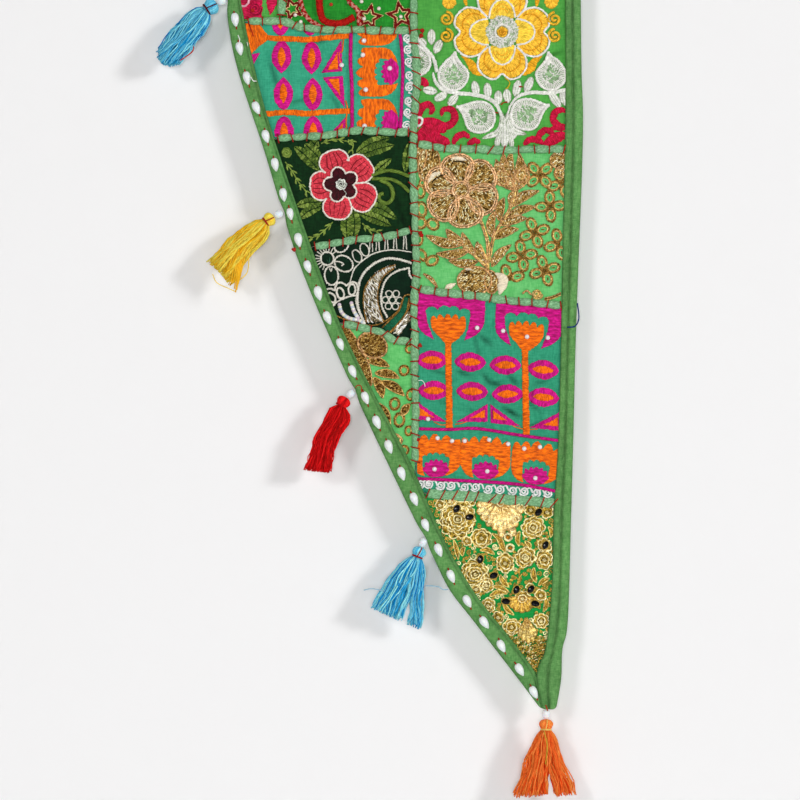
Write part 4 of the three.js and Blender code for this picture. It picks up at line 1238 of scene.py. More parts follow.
def bud(path, wide, lift=0.0):
    """A white satin bud with a grey thread round it and two more along it: painted shade at its rim and
    between its lobes.
    """
    a, b = bloom.leaf(path, wide, BUD, ends=(0.42, 0.7), high=1.0, lift=lift, kind="cotton")
    # grey threads as painted shade round the bud's rim and between its lobes
    bloom.line(evenly(closed(a, b), 0.9), 0.34, BUD_SHADE_GREY, "cotton", lift=0.15)
    for aside in (-0.16, 0.18):
        bloom.line(smooth(path)[1:-1] + [aside * wide, 0], 0.22, BUD_SHADE_GREY, "cotton", lift=0.85 + lift)


for path, wide in (
    ([(45.8, -82.4), (44, -96), (45.6, -115.4)], 25), ([(124.8, -82.4), (127.6, -96), (126, -115)], 25),
    ([(47, -128.8), (61, -134.6), (77.4, -146)], 26.5),
    ([(126.2, -127.8), (112, -132.6), (95.2, -143)], 26.5), ([(10, -73), (13, -86), (12, -103)], 24),
):
    a, b = blade(path, wide, widest=0.62, ends=(1.15, 0.5))
    rim = evenly(closed(a, b), 0.8)
    core = (a + b)[int(len(a) * 0.62)] / 2
    bloom.fill(a, b, "#93B688", high=0.35)
    for point in evenly(rim, 1.9):
        reach = np.linspace(0.98, 0.5 + 0.16 * chance.random(), 6)[:, None]
        bloom.line(shrunk(point, reach, core), 0.55, CREAM, "cotton", lift=0.25)
    speckle(core, wide * 0.28, 34, squash=1.2)
    bloom.line(rim, 1.3, CREAM, "cotton", lift=0.2)
SPRAYS = [
    [
        (86.4, -139), (80.8, -127.6), (73, -121.8), (61.6, -119), (47.4, -117.6), (36, -115),
        (29.6, -108.6), (27, -101),
    ],
    [(89.6, -139), (93.2, -127.6), (100.6, -120), (112, -117.2), (126, -117.6), (141, -114.6)],
]
for path in SPRAYS:
    middle = smooth(path)
    for shift in (-0.9, 0.1, 1.0):
        bloom.line(middle + [0.3 * shift, shift], 0.85, BUD, "cotton", lift=0.2)
for path, wide in (
    ([(86, -138), (83, -150), (68.6, -156.4)], 6.0), ([(90, -138), (95.4, -149), (106.6, -152.6)], 6.4),
    ([(85.4, -134), (86, -146), (82, -155)], 6.0), ([(90.6, -134), (90.8, -146), (94.6, -154.6)], 6.0),
    ([(87.6, -140), (88.2, -152), (87.6, -166)], 8.6), ([(84.6, -150), (82, -158), (81.6, -166)], 5.4),
    ([(91.6, -150), (93.4, -158), (94.4, -166)], 5.0),
):
    bud(path, wide * 0.86, chance.uniform(0, 0.25))
for x, z, turn, long in (
    (63.2, -113.6, 12, 12), (73.6, -115.4, 6, 12), (82.6, -121.4, 0, 11), (90.2, -120, 8, 11),
    (98.4, -113.4, -14, 13), (108.4, -110.4, -24, 13), (24.4, -115.4, 80, 11.5), (33.6, -120.8, 118, 11),
    (44, -123.6, 140, 11), (25.8, -69.8, 0, 12), (31.4, -78, -26, 11.5), (18, -74.6, 40, 8),
    (130.6, -123, 34, 15), (138, -121.6, 14, 12), (94.6, -153.4, -60, 8),
):
    path = placed([(0, long * 0.54), (0, 0), (0, -long * 0.58)], (x, z), turn)
    bud(path, 6.8)
bloom.curve([(13, -70), (21, -80), (27.4, -88), (30.6, -100)], 1.7, CREAM, "cotton")
CRIMSON = "#C80A3C"
for path, wide in (
    ([(13, -149), (14.4, -137), (18.4, -129), (24, -127.4), (26.6, -132), (23.6, -136)], 6.8),
    (
        [
            (14, -146), (22, -141), (31, -143), (37.6, -146), (44, -142.4), (45.6, -136), (41.4, -131),
            (35.4, -132.4), (34.4, -137.6),
        ],
        7.0,
    ),
    ([(13, -158), (21, -149), (30, -147), (38.6, -150.4)], 9.4),
    ([(16, -160), (28, -157), (42, -160)], 10.0),
    ([(44, -161.6), (47.6, -154.6), (54, -152.6), (58.6, -156)], 5.8),
    ([(56, -161.6), (62, -158), (67.6, -160)], 5.4), ([(20.6, -150.6), (28, -152.6), (34.4, -158)], 7.4),
    ([(12, -108.4), (18, -107.6), (23.4, -111.6)], 7.4),
    ([(104, -162), (110, -156.8), (117, -158), (121.6, -161.6)], 6.0),
    ([(116, -161), (117.6, -153), (123.6, -149), (128.4, -152.4), (126, -156.6)], 6.2),
    ([(122, -163), (130, -156.6), (141, -152)], 9.6), ([(127, -149.6), (130.6, -147), (141, -147.6)], 5.4),
    ([(141, -146), (134, -145.4), (129.4, -140.4), (131, -134), (137, -132), (141, -134)], 6.4),
):
    bloom.leaf(path, wide, CRIMSON, ends=(0.3, 0.36), high=1.1, lift=chance.uniform(0, 0.2))
bloom.curve(
    [(13, -138.4), (17, -138.8), (18, -142.4), (15, -145.6), (12.4, -143.6)], 1.2, CREAM, "cotton", 0.8,
)
STRAY_RED = "#B3261C"
for colour, path in (
    ("#D9B92A", [(88.2, -104.6), (92.2, -108.6), (91, -112.6), (88.8, -114.2)]),
    (STRAY_RED, [(15.6, -63.4), (18.4, -65.4), (17.4, -68)]),
    (STRAY_RED, [(84.8, -127.8), (87, -125.8), (90.4, -125.2)]),
    (STRAY_RED, [(100, -112), (103.4, -112.6)]), (STRAY_RED, [(79.6, -134), (82.6, -134.6)]),
):
    bloom.curve(path, 0.5, colour, "cotton", lift=0.9)
bloom.bead((18, -64.6), 1.9, STRAY_RED, kind="cotton", lift=0.5)
sewn["bloom"] = bloom.finish()

# %% [markdown]
# ## The zari patch
# Bright green satin cotton worked in gilt thread. Petals and leaves are filled with rows of purl, a
# coiled wire whose turns flash one by one, inside a copper cord; each bit takes a tone at random, and
# its pale tones are painted glints and its dark ones painted shade. Round them stand little flowers of
# four looped ovals. Two petals of the big flower are tipped with cream leather crescents.

# %% Gilt petals, leaves and looped flowers
BRONZE, GILT, GILT_GLINT, COPPER, LEATHER = "#806226", "#D8B872", "#FFF4C8", "#C49A68", "#F5E8CC"
# tones for purl bits, picked at random: gilt, pale gilt as a painted glint, and dark browns as painted shade
PURL = (GILT, GILT_GLINT, "#CDAA64", GILT, GILT_GLINT, "#9E7C3E", "#644C1C")
LEAF_PURL = (GILT, GILT_GLINT, "#CDAA64", GILT, "#A07E40")


def purl_fill(stitches, a, b, edge=0.75, tones=PURL, rim=COPPER, lift=0.2, turn=35):
    """A bronze ground, bits of purl sewn all over it, and a copper cord round it."""
    stitches.fill(a, b, BRONZE)
    outline = closed(a, b)
    stitches.bits(shrunk(outline, 0.93, outline.mean(0)), tones, lift=0.35 + lift, turn=turn)
    stitches.line(evenly(outline, 0.9), edge, rim, lift=0.65 + lift)


def purl_leaf(stitches, start, tip, width=7.4, bow=0.08, tones=LEAF_PURL, **how):
    """A gilt leaf from its foot to its tip, bowed to one side by a share of its length."""
    start, tip = np.asarray(start, float), np.asarray(tip, float)
    side = np.array([start[1] - tip[1], tip[0] - start[0]]) * bow
    a, b = blade([start, (start + tip) / 2 + side, tip], width, widest=0.46, ends=(0.8, 0.95))
    way = np.degrees(np.arctan2(tip[1] - start[1], tip[0] - start[0]))
    purl_fill(stitches, a, b, edge=0.6, tones=tones, turn=way + 60, **how)


def double_loop(stitches, loop, at, share, lifts, tones=("#9A7538", GILT), radius=0.66):
    """A loop of cord round a point, and another inside it at a share of its size."""
    stitches.line(loop, 0.8, tones[0], lift=lifts[0])
    stitches.line(shrunk(loop, share, at), radius, tones[1], lift=lifts[1])


def looped_flower(at, turn, ovals):
    """Ovals of doubled cord round a point, with a speck of purl in each."""
    for k in range(ovals):
        way = turn + k * 90
        middle = placed([(0, 8.2 * 0.92)], at, way)[0]
        loop = placed(circle((0, 0), 11.4 / 2, squash=8.0 / 11.4, turn=90, spacing=0.8), middle, way)
        double_loop(zari, loop, middle, 0.74, (0.2, 0.45))
        zari.line(evenly(placed([(-0.4, -1.4), (0.2, 1.4)], middle, way), 0.7), 0.5, "#8E6A2E", lift=0.2)
    zari.disc(at, 1.6, BRONZE, high=0.8)


zari = Stitching("zari", "metal")
FLOWER_AT = np.array([50.8, -200.0])
for k, (x, z, wide) in enumerate((
    (68.4, -187.8, 24), (47.8, -181, 24), (32.4, -193, 22), (70, -207.8, 23), (35.4, -213.4, 24),
    (54.4, -220.2, 26),
)):
    away = np.array([x, z]) - FLOWER_AT
    turn = np.degrees(np.arctan2(-away[0], away[1]))
    path = placed([(0, -16), (0, 0), (0, 11.6)], (x, z), turn)
    a, b = blade(path, wide + 4, widest=0.6, ends=(0.5, 0.42))
    purl_fill(zari, a, b, edge=1.0, rim="#DDB285", lift=0.1 + 0.28 * k, turn=turn + 90)
    zari.line(evenly(shrunk(closed(a, b), 0.85, (x, z)), 0.9), 0.62, "#E6BE92", lift=1.5 + 0.28 * k)
zari.disc(FLOWER_AT, 7.0, BRONZE, high=2.0, lift=0.8)
zari.bits(circle(FLOWER_AT, 6.4), LEAF_PURL, lift=2.6)
for reach, radius in ((7.2, 0.8), (5.6, 0.45)):
    zari.line(circle(FLOWER_AT, reach), radius, "#E6BE92", lift=3.1)
for path, wide in (
    ([(41.6, -174.4), (47.6, -172.4), (56, -175.4)], 4.2),
    ([(21.8, -195), (27.4, -187.4), (36, -184.4)], 4.4), ([(37, -284), (42.4, -281), (46.6, -279)], 5.0),
    ([(79.4, -270.4), (86.4, -276), (83.4, -289)], 9.0),
    ([(52.6, -268.4), (56.4, -266.8), (61, -268.4)], 3.0),
):
    zari.leaf(path, wide, LEATHER, ends=(0.7, 0.7), high=0.9, lift=1.5, kind="cotton")
for path in (
    [(44.6, -176), (50, -175.8), (55.4, -177.4)], [(26, -194), (30, -189.8), (37, -187)],
    [(53, -270), (58, -269.4)],
):
    zari.curve(path, 0.5, "#2B1A0C", "floss", lift=2.2)
for path in (
    [(73.4, -268), (73.8, -247), (70.6, -234), (65.8, -222)],
    [(74.4, -262), (79.4, -238), (92.6, -215.6), (97, -199)],
    [(72.8, -266), (61.4, -254.8), (50.4, -244.8)], [(73.2, -266), (71, -256), (66, -246)],
):
    middle = smooth(path)
    for shift in (-0.85, 0.85):
        zari.line(middle + [shift, 0], 0.9, GILT if shift > 0 else COPPER, lift=0.25)
for start, tip, width in (
    ((91.6, -214.6), (117.4, -200.6), 7.6), ((90.6, -223.4), (114.4, -214.2), 6.8),
    ((84.4, -230), (107.4, -224), 7.0), ((79.4, -241), (99.6, -233), 7.4),
    ((83.4, -226), (87.4, -206.4), 7.2), ((76.6, -240), (79.2, -218), 6.6),
    ((77, -265), (93.4, -246.4), 6.6), ((93, -213), (99, -199.6), 7.4), ((53, -246), (20.8, -238.4), 7.6),
    ((53, -246), (38.2, -233), 7.4), ((62.6, -255), (51.8, -236), 7.0), ((71.6, -264), (64.6, -243.6), 6.8),
    ((58, -251), (29.6, -254), 7.2), ((65, -261), (40.4, -260), 6.8), ((19, -271), (31, -283), 2.6),
):
    purl_leaf(zari, start, tip, width)
for tip, width in (
    ((80.6, -174), 10), ((86.8, -168.6), 9), ((93.6, -167), 9), ((100.6, -168.6), 9), ((105.6, -178), 10),
):
    purl_leaf(zari, (95.6, -200), tip, width, bow=-0.1 if tip[0] > 94 else 0.1)
for x, z, radius in (
    (85.6, -190, 6.4), (103, -187.6, 6.0), (94.6, -193, 5.4), (133.6, -174.6, 7), (135.6, -184.4, 4.6),
):
    a, b = blade([(x, z + radius), (x, z), (x, z - radius)], radius * 2, ends=(0.5, 0.5))
    purl_fill(zari, a, b)
for path, width in (
    ([(23.6, -161), (23.8, -177), (17.4, -192)], 18), ([(18.6, -160), (16.4, -176), (16, -186)], 9),
):
    a, b = blade(path, width, ends=(0.5, 0.8))
    purl_fill(zari, a, b, turn=80)
a, b = blade([(62, -289), (62.4, -276), (62.2, -265)], 29, ends=(0.5, 0.45))
purl_fill(zari, a, b, edge=1.0)
a, b = blade([(76.6, -288), (77, -279), (75, -268)], 12, ends=(0.5, 0.6))
purl_fill(zari, a, b)
for x, z, turn, ovals in (
    (117.8, -187.2, 42, 4), (126.8, -213.8, 4, 4), (113.4, -236.2, 20, 4), (102.6, -255.8, 10, 4),
    (122.2, -268.4, 18, 4), (91.8, -276, -70, 3), (134.4, -246, 15, 3), (137, -194, 20, 4),
):
    looped_flower((x, z), turn, ovals)
for x, z, long, wide, turn in (
    (16.6, -201.2, 11.6, 7, 0), (17.6, -216.4, 13, 8, 8), (16.8, -228, 10, 9, 0), (27, -229, 11, 9, 50),
    (15.4, -242, 9, 6, 0), (17.6, -255, 11, 7, 30), (26.4, -260, 11, 8, -60), (18, -194, 6, 5, 0),
):
    loop = circle((x, z), long / 2, squash=wide / long, turn=90 + turn, spacing=0.8)
    double_loop(zari, loop, (x, z), 0.72, (0.15, 0.4))
zari.line(spiral((115.6, -288.4), 4.6, 2.4), 0.85, GILT, lift=0.3)
zari.curve([(103, -288), (107, -285.6), (110.6, -289)], 0.85, COPPER, lift=0.3)
for shift, colour in ((-1.0, GILT), (0.0, BRONZE), (1.0, COPPER)):
    path = [(121.8, -292.6 + shift), (128, -291.4 + shift), (136, -288 + shift)]
    zari.curve(path, 0.6, colour, lift=0.3)
zari.bead((17.4, -238.4), 1.8, "#C2231B", kind="cotton", lift=0.6)
sewn["zari"] = zari.finish()

# %% [markdown]
# ## The rosette patch
# The tip is a scrap of a bridal border: gold cord packed so closely that little green shows. A rose is
# ring upon ring of scalloped cord, each higher than the last, wound in to a boss. Two pale palmettes
# hang like fringes, and black oval stones are set among them. Curls fill what room is left.

# %% Gold roses, palmettes, leaves, stones and curls
# one gold cord in three tones: plain, pale as a painted highlight, and deep as painted shade
GOLD_CORD, GOLD_HIGHLIGHT, GOLD_SHADE, JET = "#D2B256", "#FFF2BC", "#86701E", "#020203"
rosette = Stitching("rosette", "metal")
filled = []


def gold_rose(at, radius, scallops, turn):
    """A rose: a deep gold ground as painted shade, then scalloped rings in turn pale, a painted highlight,
    and gold, and a wound boss. A ring's reach is its radius times a share that falls to a cusp between
    two scallops."""
    # a deep gold ground of painted shade, which shows between the rings
    rosette.disc(at, radius, GOLD_SHADE, turn, high=0.5)
    reach, step = radius - 0.4, 0
    while reach > 2.5:
        count = max(4, round(scallops * (reach / radius) ** 0.6))
        angle = np.linspace(0, 2 * np.pi, int(reach * 5) + 14)
        out = reach * (0.8 + 0.24 * np.abs(np.sin(angle * count / 2 + step // 2 * 0.9)) ** 0.55)
        slow, quick = np.sin(angle * 2 + chance.uniform(0, 6)), chance.normal(0, 0.025, len(angle))
        out = out * (1 + 0.07 * slow + quick)
        ring = placed(np.stack([out * np.cos(angle), out * np.sin(angle)], -1), at, turn)
        # every other ring is pale gold, a painted highlight
        tone = (GOLD_HIGHLIGHT, GOLD_CORD)[step % 2]
        rosette.line(ring, 0.64 - 0.12 * (step % 2), tone, lift=0.3 + 0.15 * step, around=4)
        reach -= (1.2, 1.7)[step % 2] * chance.uniform(0.85, 1.15)
        step += 1
    rosette.disc(at, 2.0, "#A8862C", high=1.3, lift=0.2 + 0.12 * step)
    rosette.line(spiral(at, 1.7, 1.6), 0.42, GOLD_HIGHLIGHT, lift=1.3 + 0.12 * step)
    filled.append((*at, radius))


def cord_leaf(path, wide, tone="#A4842E"):
    """A slim leaf: a satin middle between two pale cords."""
    a, b = blade(path, wide, ends=(0.7, 0.9), spacing=0.8)
    rosette.fill(a, b, tone, high=0.7)
    rosette.line(evenly(closed(a, b), 0.8), 0.46, "#F4DC90", lift=0.45)
    filled.extend((*point, wide * 0.5) for point in smooth(path, 3.0))


def palmette(crown, tips, wide, tone="#E9CC8C"):
    """Rounded blades that fan from one point, each edged in gold."""
    crown = np.asarray(crown, float)
    for tip in tips:
        path = crown + (np.asarray(tip, float) - crown) * np.array([[0.1], [0.55], [1.0]])
        a, b = blade(path, wide, widest=0.74, ends=(0.7, 0.42), spacing=0.8)
        rosette.fill(a, b, tone, high=1.1, lift=chance.uniform(0.15, 0.4))
        rosette.line(evenly(closed(a, b), 0.8), 0.4, "#B8924A", lift=0.85)
        filled.extend((*point, wide * 0.6) for point in path)


for x, z, radius, scallops, turn in (
    (48, -479.4, 16, 11, 10), (68.2, -495.6, 8.8, 7, 0), (112.2, -486.6, 9.8, 8, 20),
    (88.4, -516.8, 8.2, 6, 0), (105.4, -511.8, 8.8, 8, 15), (121.6, -514, 8.0, 7, 0),
    (62.9, -526.2, 12.4, 9, 5), (72.2, -535.4, 6.6, 6, 0), (63.8, -539, 4.6, 5, 0),
    (110, -471.6, 5.4, 6, 0), (124, -473.6, 5.6, 5, 0), (58.6, -464, 5.0, 5, 0), (41.6, -463.6, 5.0, 5, 0),
    (33, -467.6, 4.4, 5, 0), (49.6, -461.4, 4.4, 4, 0), (103, -547, 7.0, 9, 0), (73.8, -553, 6.6, 6, 0),
    (93.8, -571, 7.6, 7, 40), (119, -565.8, 6.8, 7, 10), (82.4, -563, 5.2, 5, 0), (122, -501.6, 6.2, 6, 0),
    (118.6, -544, 5.0, 5, 0), (109.4, -537, 3.6, 5, 0), (56, -498, 4.4, 5, 0),
):
    gold_rose((x, z), radius, scallops, turn)
palmette((84, -461), [
    (64.2, -468.4), (64.6, -474.6), (68.4, -480), (73.6, -485.6), (79.4, -489), (85.6, -495.6),
    (90, -489.4), (96.2, -494), (98.4, -486), (102, -480.4), (104, -473.4), (104, -467.6), (84, -486),
    (90, -480), (78, -478),
], 6.6)
palmette(
    (106, -561), [(100.6, -580), (104, -583.4), (108, -585), (112, -583.4), (114.6, -579)], 4.6, "#DDC478",
)
FAN = [placed([(0, -13)], (102.6, -546), turn)[0] for turn in (-74, -50, -25, 0, 25, 50, 74)]
palmette((102.6, -544), FAN, 5.6, "#CBA64A")
# raised bosses whose pale ring and top are painted highlight
for x, z in ((68.8, -471.8), (72.6, -478.6), (84.4, -465.8), (84.2, -483.2), (97.6, -479.4), (101, -469.2)):
    rosette.disc((x, z), 2.6, "#C08A24", high=2.4)
    rosette.line(circle((x, z), 2.7), 0.6, GOLD_HIGHLIGHT, lift=2.0)
    rosette.disc((x, z), 1.1, GOLD_HIGHLIGHT, high=3.0)
for x, z in ((90.9, -494.7), (92.6, -503.8)):
    rosette.line(circle((x, z), 3.0), 1.1, GOLD_HIGHLIGHT, lift=0.3)
    rosette.disc((x, z), 1.9, "#B9802A", high=1.4)
    filled.append((x, z, 4.2))
for path, wide in (
    ([(77.3, -491.6), (83.3, -496), (86.2, -503), (89.4, -509)], 4.4),
    ([(67, -506), (73, -505.4), (79.4, -509.6)], 4.0), ([(54, -503), (51.8, -507), (52.4, -511)], 3.8),
    ([(44.6, -497), (47, -505), (48.8, -514)], 3.4),
    ([(100.6, -489.6), (98.8, -496), (100.4, -502.4)], 3.8),
    ([(105, -498), (109, -501.6), (108.6, -505)], 3.2),
    ([(124.8, -486), (127.8, -489.4), (127, -495)], 3.4),
    ([(84, -526.6), (86.4, -532), (91.6, -537.4)], 4.0),
    ([(112.8, -520.6), (112.4, -527), (115, -533.6)], 4.2),
    ([(126, -530), (121, -531.6), (116.6, -536)], 3.8), ([(75, -545), (82, -541.4), (90.4, -542.6)], 3.8),
    ([(122.4, -545), (123.4, -552), (120.8, -558.6)], 3.8),
    ([(77, -536.6), (84, -537.4), (92, -541.6)], 3.4), ([(86, -549), (90, -556), (96, -561)], 3.4),
):
    cord_leaf(path, wide)
rosette.curve([(101.1, -519.6), (100.4, -526), (100.9, -534)], 0.6, GOLD_CORD, lift=0.2)
for x, z, hand in ((95.4, -528.6, 1), (105, -525.8, -1)):
    rosette.curve([(x, z), (x + 2.6 * hand, z - 0.4), (100.6, z - 4)], 0.5, GOLD_CORD, lift=0.2)
    rosette.line(spiral((x, z), 2.2, 1.5), 0.6, GOLD_CORD, lift=0.3)
    filled.append((x, z, 2.8))
rosette.line(spiral((79.9, -503), 2.8, 1.8), 0.62, GOLD_HIGHLIGHT, lift=0.3)
filled += [(100.8, -527, 2.2), (79.9, -503, 3.2)]
for (x, z), turn in (
    ((47.1, -470.6), 60), ((58.2, -477.7), 12), ((116.6, -473.6), 50), ((67.1, -513.4), 80),
    ((78.6, -527.2), 25), ((122.6, -501.4), 60), ((97.9, -539.2), 70), ((110.2, -538.8), 50),
    ((88.9, -549.2), -5), ((113.9, -551), -12),
):
    rosette.line(circle((x, z), 3.9, squash=0.76, turn=turn, spacing=0.7), 0.5, GOLD_CORD, lift=1.5)
    rosette.bead((x, z), 3.8, JET, kind="stone", squash=0.7, turn=turn, high=0.6, lift=1.9)
taken = np.array(filled)
left, right, bottom, top = PATCHES["rosette"][:4]
down = np.linspace(-579, -609, 16)
tip = closed(np.stack([left(down) + 3.4, down], -1), np.stack([right(down) - 3, down], -1))
# tones for the tip's purl bits, picked at random: pale gold as painted glint, deep gold as painted shade
TIP_PURL = (GOLD_CORD, GOLD_HIGHLIGHT, GOLD_CORD, "#B8943A", GOLD_SHADE, "#6E5A18")
for turn, lift in ((75, 0.1), (20, 0.7)):
    rosette.bits(tip, TIP_PURL, long=2.6, pitch=1.9, turn=turn, lift=lift, radius=0.5)
tries = np.stack([chance.uniform(24, 136, 7000), chance.uniform(-612, -460, 7000)], -1)
x, z = tries.T
roomy = (x > left(z) + 3) & (x < right(z) - 2.8) & (z < top(x) - 3)
for index, at in enumerate(tries[roomy]):
    gap = (np.hypot(*(taken[:, :2] - at).T) - taken[:, 2]).min()
    dense = at[1] < -574 or index % 3 == 0
    if gap > (0.5 if dense else 1.5):
        size = min(gap + 0.6, chance.uniform(1.8, 3.1))
        curl = spiral(at, size, 1.4, start=chance.uniform(0, 360), hand=1 - 2 * (index % 2))
        # every third curl is pale gold, a painted highlight
        rosette.line(curl, 0.56, (GOLD_CORD, GOLD_HIGHLIGHT, "#BFA04A")[index % 3], lift=0.2)
        taken = np.vstack([taken, (*at, size)])
sewn["rosette"] = rosette.finish()

# %% [markdown]
# ## The anemone patch
# Dark green cotton with a coral flower whose maroon heart has five lobes, both edged in thin white
# cord. Olive leaves are worked in two halves, with gaps between their blocks of stitches.

# %% Coral flower and olive leaves
anemone = Stitching("anemone")
CORAL, MAROON, OLIVE, MOSS = "#D63C4B", "#3E000E", "#6F8A36", "#8BA24A"
HEART_AT = np.array([-50.9, -195.4])


def olive(path, width, blocks):
    """A leaf in two halves beside a bare vein, each in slanting blocks with a sliver between them."""
    a, b = blade(path, width, ends=(0.6, 0.7))
    middle = (a + b) / 2
    cuts = np.linspace(0, len(a) - 1, blocks + 1).astype(int)
    for edge in (a, b):
        out = (edge - middle) / (np.linalg.norm(edge - middle, axis=1, keepdims=True) + 0.01)
        for low, high in zip(cuts, cuts[1:]):
            if high - low > 1:
                tone = (OLIVE, MOSS, "#56702A")[chance.integers(0, 3)]
                run = slice(low, high + 1)
                anemone.fill(edge[run], (middle + 0.25 * out)[run], tone, high=0.6)
                if chance.random() < 0.6:
                    anemone.line(np.linspace(edge[low], middle[high], 6), 0.22, "#2F4A1C", lift=0.62)


def vine(path, twigs):
    """A thin stem with pairs of slim leaves that point along it."""
    stem = smooth(path)
    anemone.line(stem, 0.55, MOSS)
    for k in np.linspace(2, len(stem) - 3, twigs).astype(int):
        way = np.degrees(np.arctan2(*(stem[min(k + 1, len(stem) - 1)] - stem[k - 1])))
        for side in (-1, 1):
            twig = placed([(0, 0), (side * 1.6, 5.6 * 0.55), (side * 2.6, 5.6)], stem[k], -way)
            anemone.leaf(twig, 1.7, MOSS, high=0.5)


for path, width in (
    ([(-38.4, -168.6), (-26, -160.6), (-9.6, -155.4)], 7.6),
    ([(-37.6, -172), (-22, -165.6), (-5.4, -161.6)], 7.4), ([(-91, -162.6), (-80, -172), (-69, -184)], 7.6),
    ([(-82, -160.6), (-74, -168), (-66, -178)], 7.2), ([(-24.6, -186.4), (-16, -179), (-8, -173)], 5.2),
    ([(-36, -216.4), (-20, -214.8), (-3.4, -224.6)], 7.2),
    ([(-36, -219.4), (-21, -224.6), (-8, -230.6)], 7.2),
    ([(-41.2, -214), (-39.4, -228), (-40.6, -242)], 8.2), ([(-43, -214), (-46.4, -228), (-46, -242)], 8.2),
    ([(-67, -210), (-78, -210.6), (-90, -213.6)], 6.4),
    ([(-66.6, -213.6), (-77, -217), (-87.4, -224.6)], 6.6), ([(6.4, -160), (5, -172), (2.8, -185)], 5.4),
    ([(-77, -157), (-74, -160.6), (-69, -163)], 6),
):
    olive(path, width + 2.2, blocks=9 if width > 6.5 else 6)
for path, radius in (
    ([(-25, -187.6), (-13, -183.6), (-3, -184.6), (7, -188.4)], 1.5),
    ([(-25, -190.4), (-9.4, -190.8), (0, -195), (7, -201.6)], 1.5),
    (
        [
            (-18, -191.2), (-9.2, -196.4), (-6.9, -205.6), (-11.6, -211.2), (-17.8, -209), (-18.6, -204.4),
            (-14.8, -203),
        ],
        1.7,
    ),
):
    anemone.curve(path, radius, OLIVE, around=8, rise=0.2)
anemone.disc((-97.4, -168.2), 4.6, OLIVE)
anemone.line(spiral((-97.4, -168.2), 4.2, 2), 0.6, MOSS, lift=0.4)
for path, twigs in (
    ([(-98.4, -176), (-92.6, -184), (-87, -193.2), (-80, -202)], 5),
    ([(-58, -227), (-62.8, -232), (-69, -237.4), (-77, -241)], 4),
    ([(-33, -228), (-28, -233), (-19.4, -235.4)], 3), ([(-68, -160.4), (-56.4, -156.8), (-44, -159)], 4),
    ([(-45, -157), (-40.6, -161), (-42, -167)], 2),
):
    vine(path, twigs)
WHITE_EDGE = "#F1EADF"
PETALS = (
    (-67, -196.4, 10.4, 12.2), (-56.6, -177, 11, 12.6), (-54, -213.8, 11.2, 12.2),
    (-36, -182.6, 11.6, 12.6), (-33.2, -205.6, 12, 12.6),
)
petal_rims = []
for x, z, long, half in PETALS:
    away = np.array([x, z]) - HEART_AT
    turn = np.degrees(np.arctan2(-away[0], away[1]))
    path = placed([(0, -long - 4), (0, 0), (0, long)], (x, z), turn)
    a, b = blade(path, half * 2, widest=0.62, ends=(0.6, 0.34))
    anemone.fill(a, b, CORAL, high=0.8, lift=chance.uniform(0.05, 0.2))
    petal_rims.append(evenly(closed(a, b), 0.9))
    for aside in (-6.6, -2.4, 2.6, 6.8):
        end = (aside, chance.uniform(-2, 3)), (aside * chance.uniform(0.5, 0.9), long * 0.74)
        arc = placed([(aside * 0.7, -5), *end], (x, z), turn)
        anemone.curve(arc, 0.36, "#7C1220", lift=0.8)
for k, rim in enumerate(petal_rims):
    others = [np.array(PETALS[j][:2]) for j in range(len(PETALS)) if j != k]
    clear = np.min([np.linalg.norm(rim - other, axis=1) / 11.0 for other in others], axis=0) > 1
    keep = rim[clear & (np.linalg.norm(rim - HEART_AT, axis=1) > 12)]
    jumps = np.flatnonzero(np.linalg.norm(np.diff(keep, axis=0), axis=1) > 3)
    for run in np.split(keep, jumps + 1):
        if len(run) > 3:
            anemone.line(run, 0.85, WHITE_EDGE, "cotton", lift=0.35)
angle = np.linspace(0, 2 * np.pi, 90)
reach = 9.6 + 5.6 * np.abs(np.cos(2.5 * (angle - np.radians(105)))) ** 0.8
lobed = HEART_AT + np.stack([np.cos(angle), np.sin(angle)], -1) * reach[:, None]
anemone.fill(shrunk(lobed, 0.02, HEART_AT), lobed, MAROON, high=1.1, lift=0.3)
anemone.line(evenly(lobed, 0.9), 0.9, WHITE_EDGE, "cotton", lift=0.9)
anemone.line(spiral(HEART_AT, 4.4, 2.6), 0.7, "#C9CEC4", "metal", lift=1.5)
anemone.line(circle(HEART_AT, 4.2, wave=0.12, lobes=7), 0.6, "#E7EAE2", "metal", lift=1.6)
anemone.curve([(-49.4, -199), (-46.6, -203), (-47.6, -205)], 0.4, "#C9CEC4", "metal", lift=1.6)
sewn["anemone"] = anemone.finish()

# %% [markdown]
# ## The paisley patch
# Near-black green with one large paisley drawn in thick and thin white cord. Its crescent is laid with
# strips of silver, its lower edge runs in thin gold, and a rayed ring flower stands beside it.

# %% White cord paisley with silver and gold
paisley = Stitching("paisley", "cotton")
WHITE_CORD, SILVER, OLD_GOLD, EMERALD = "#E6E2D6", "#CFC9B6", "#8F6A30", "#0A6040"
RING_AT = np.array([-62.8, -258.1])


def twisted(path, radius):
    """A thick white cord whose radius swells and shrinks, as the edge of a twist does."""
    path = smooth(path, 0.7)
    knobbly = 0.84 * radius * (1 + 0.26 * np.sin(np.arange(len(path)) * 2.1))
    paisley.line(path, knobbly, WHITE_CORD, lift=0.15)


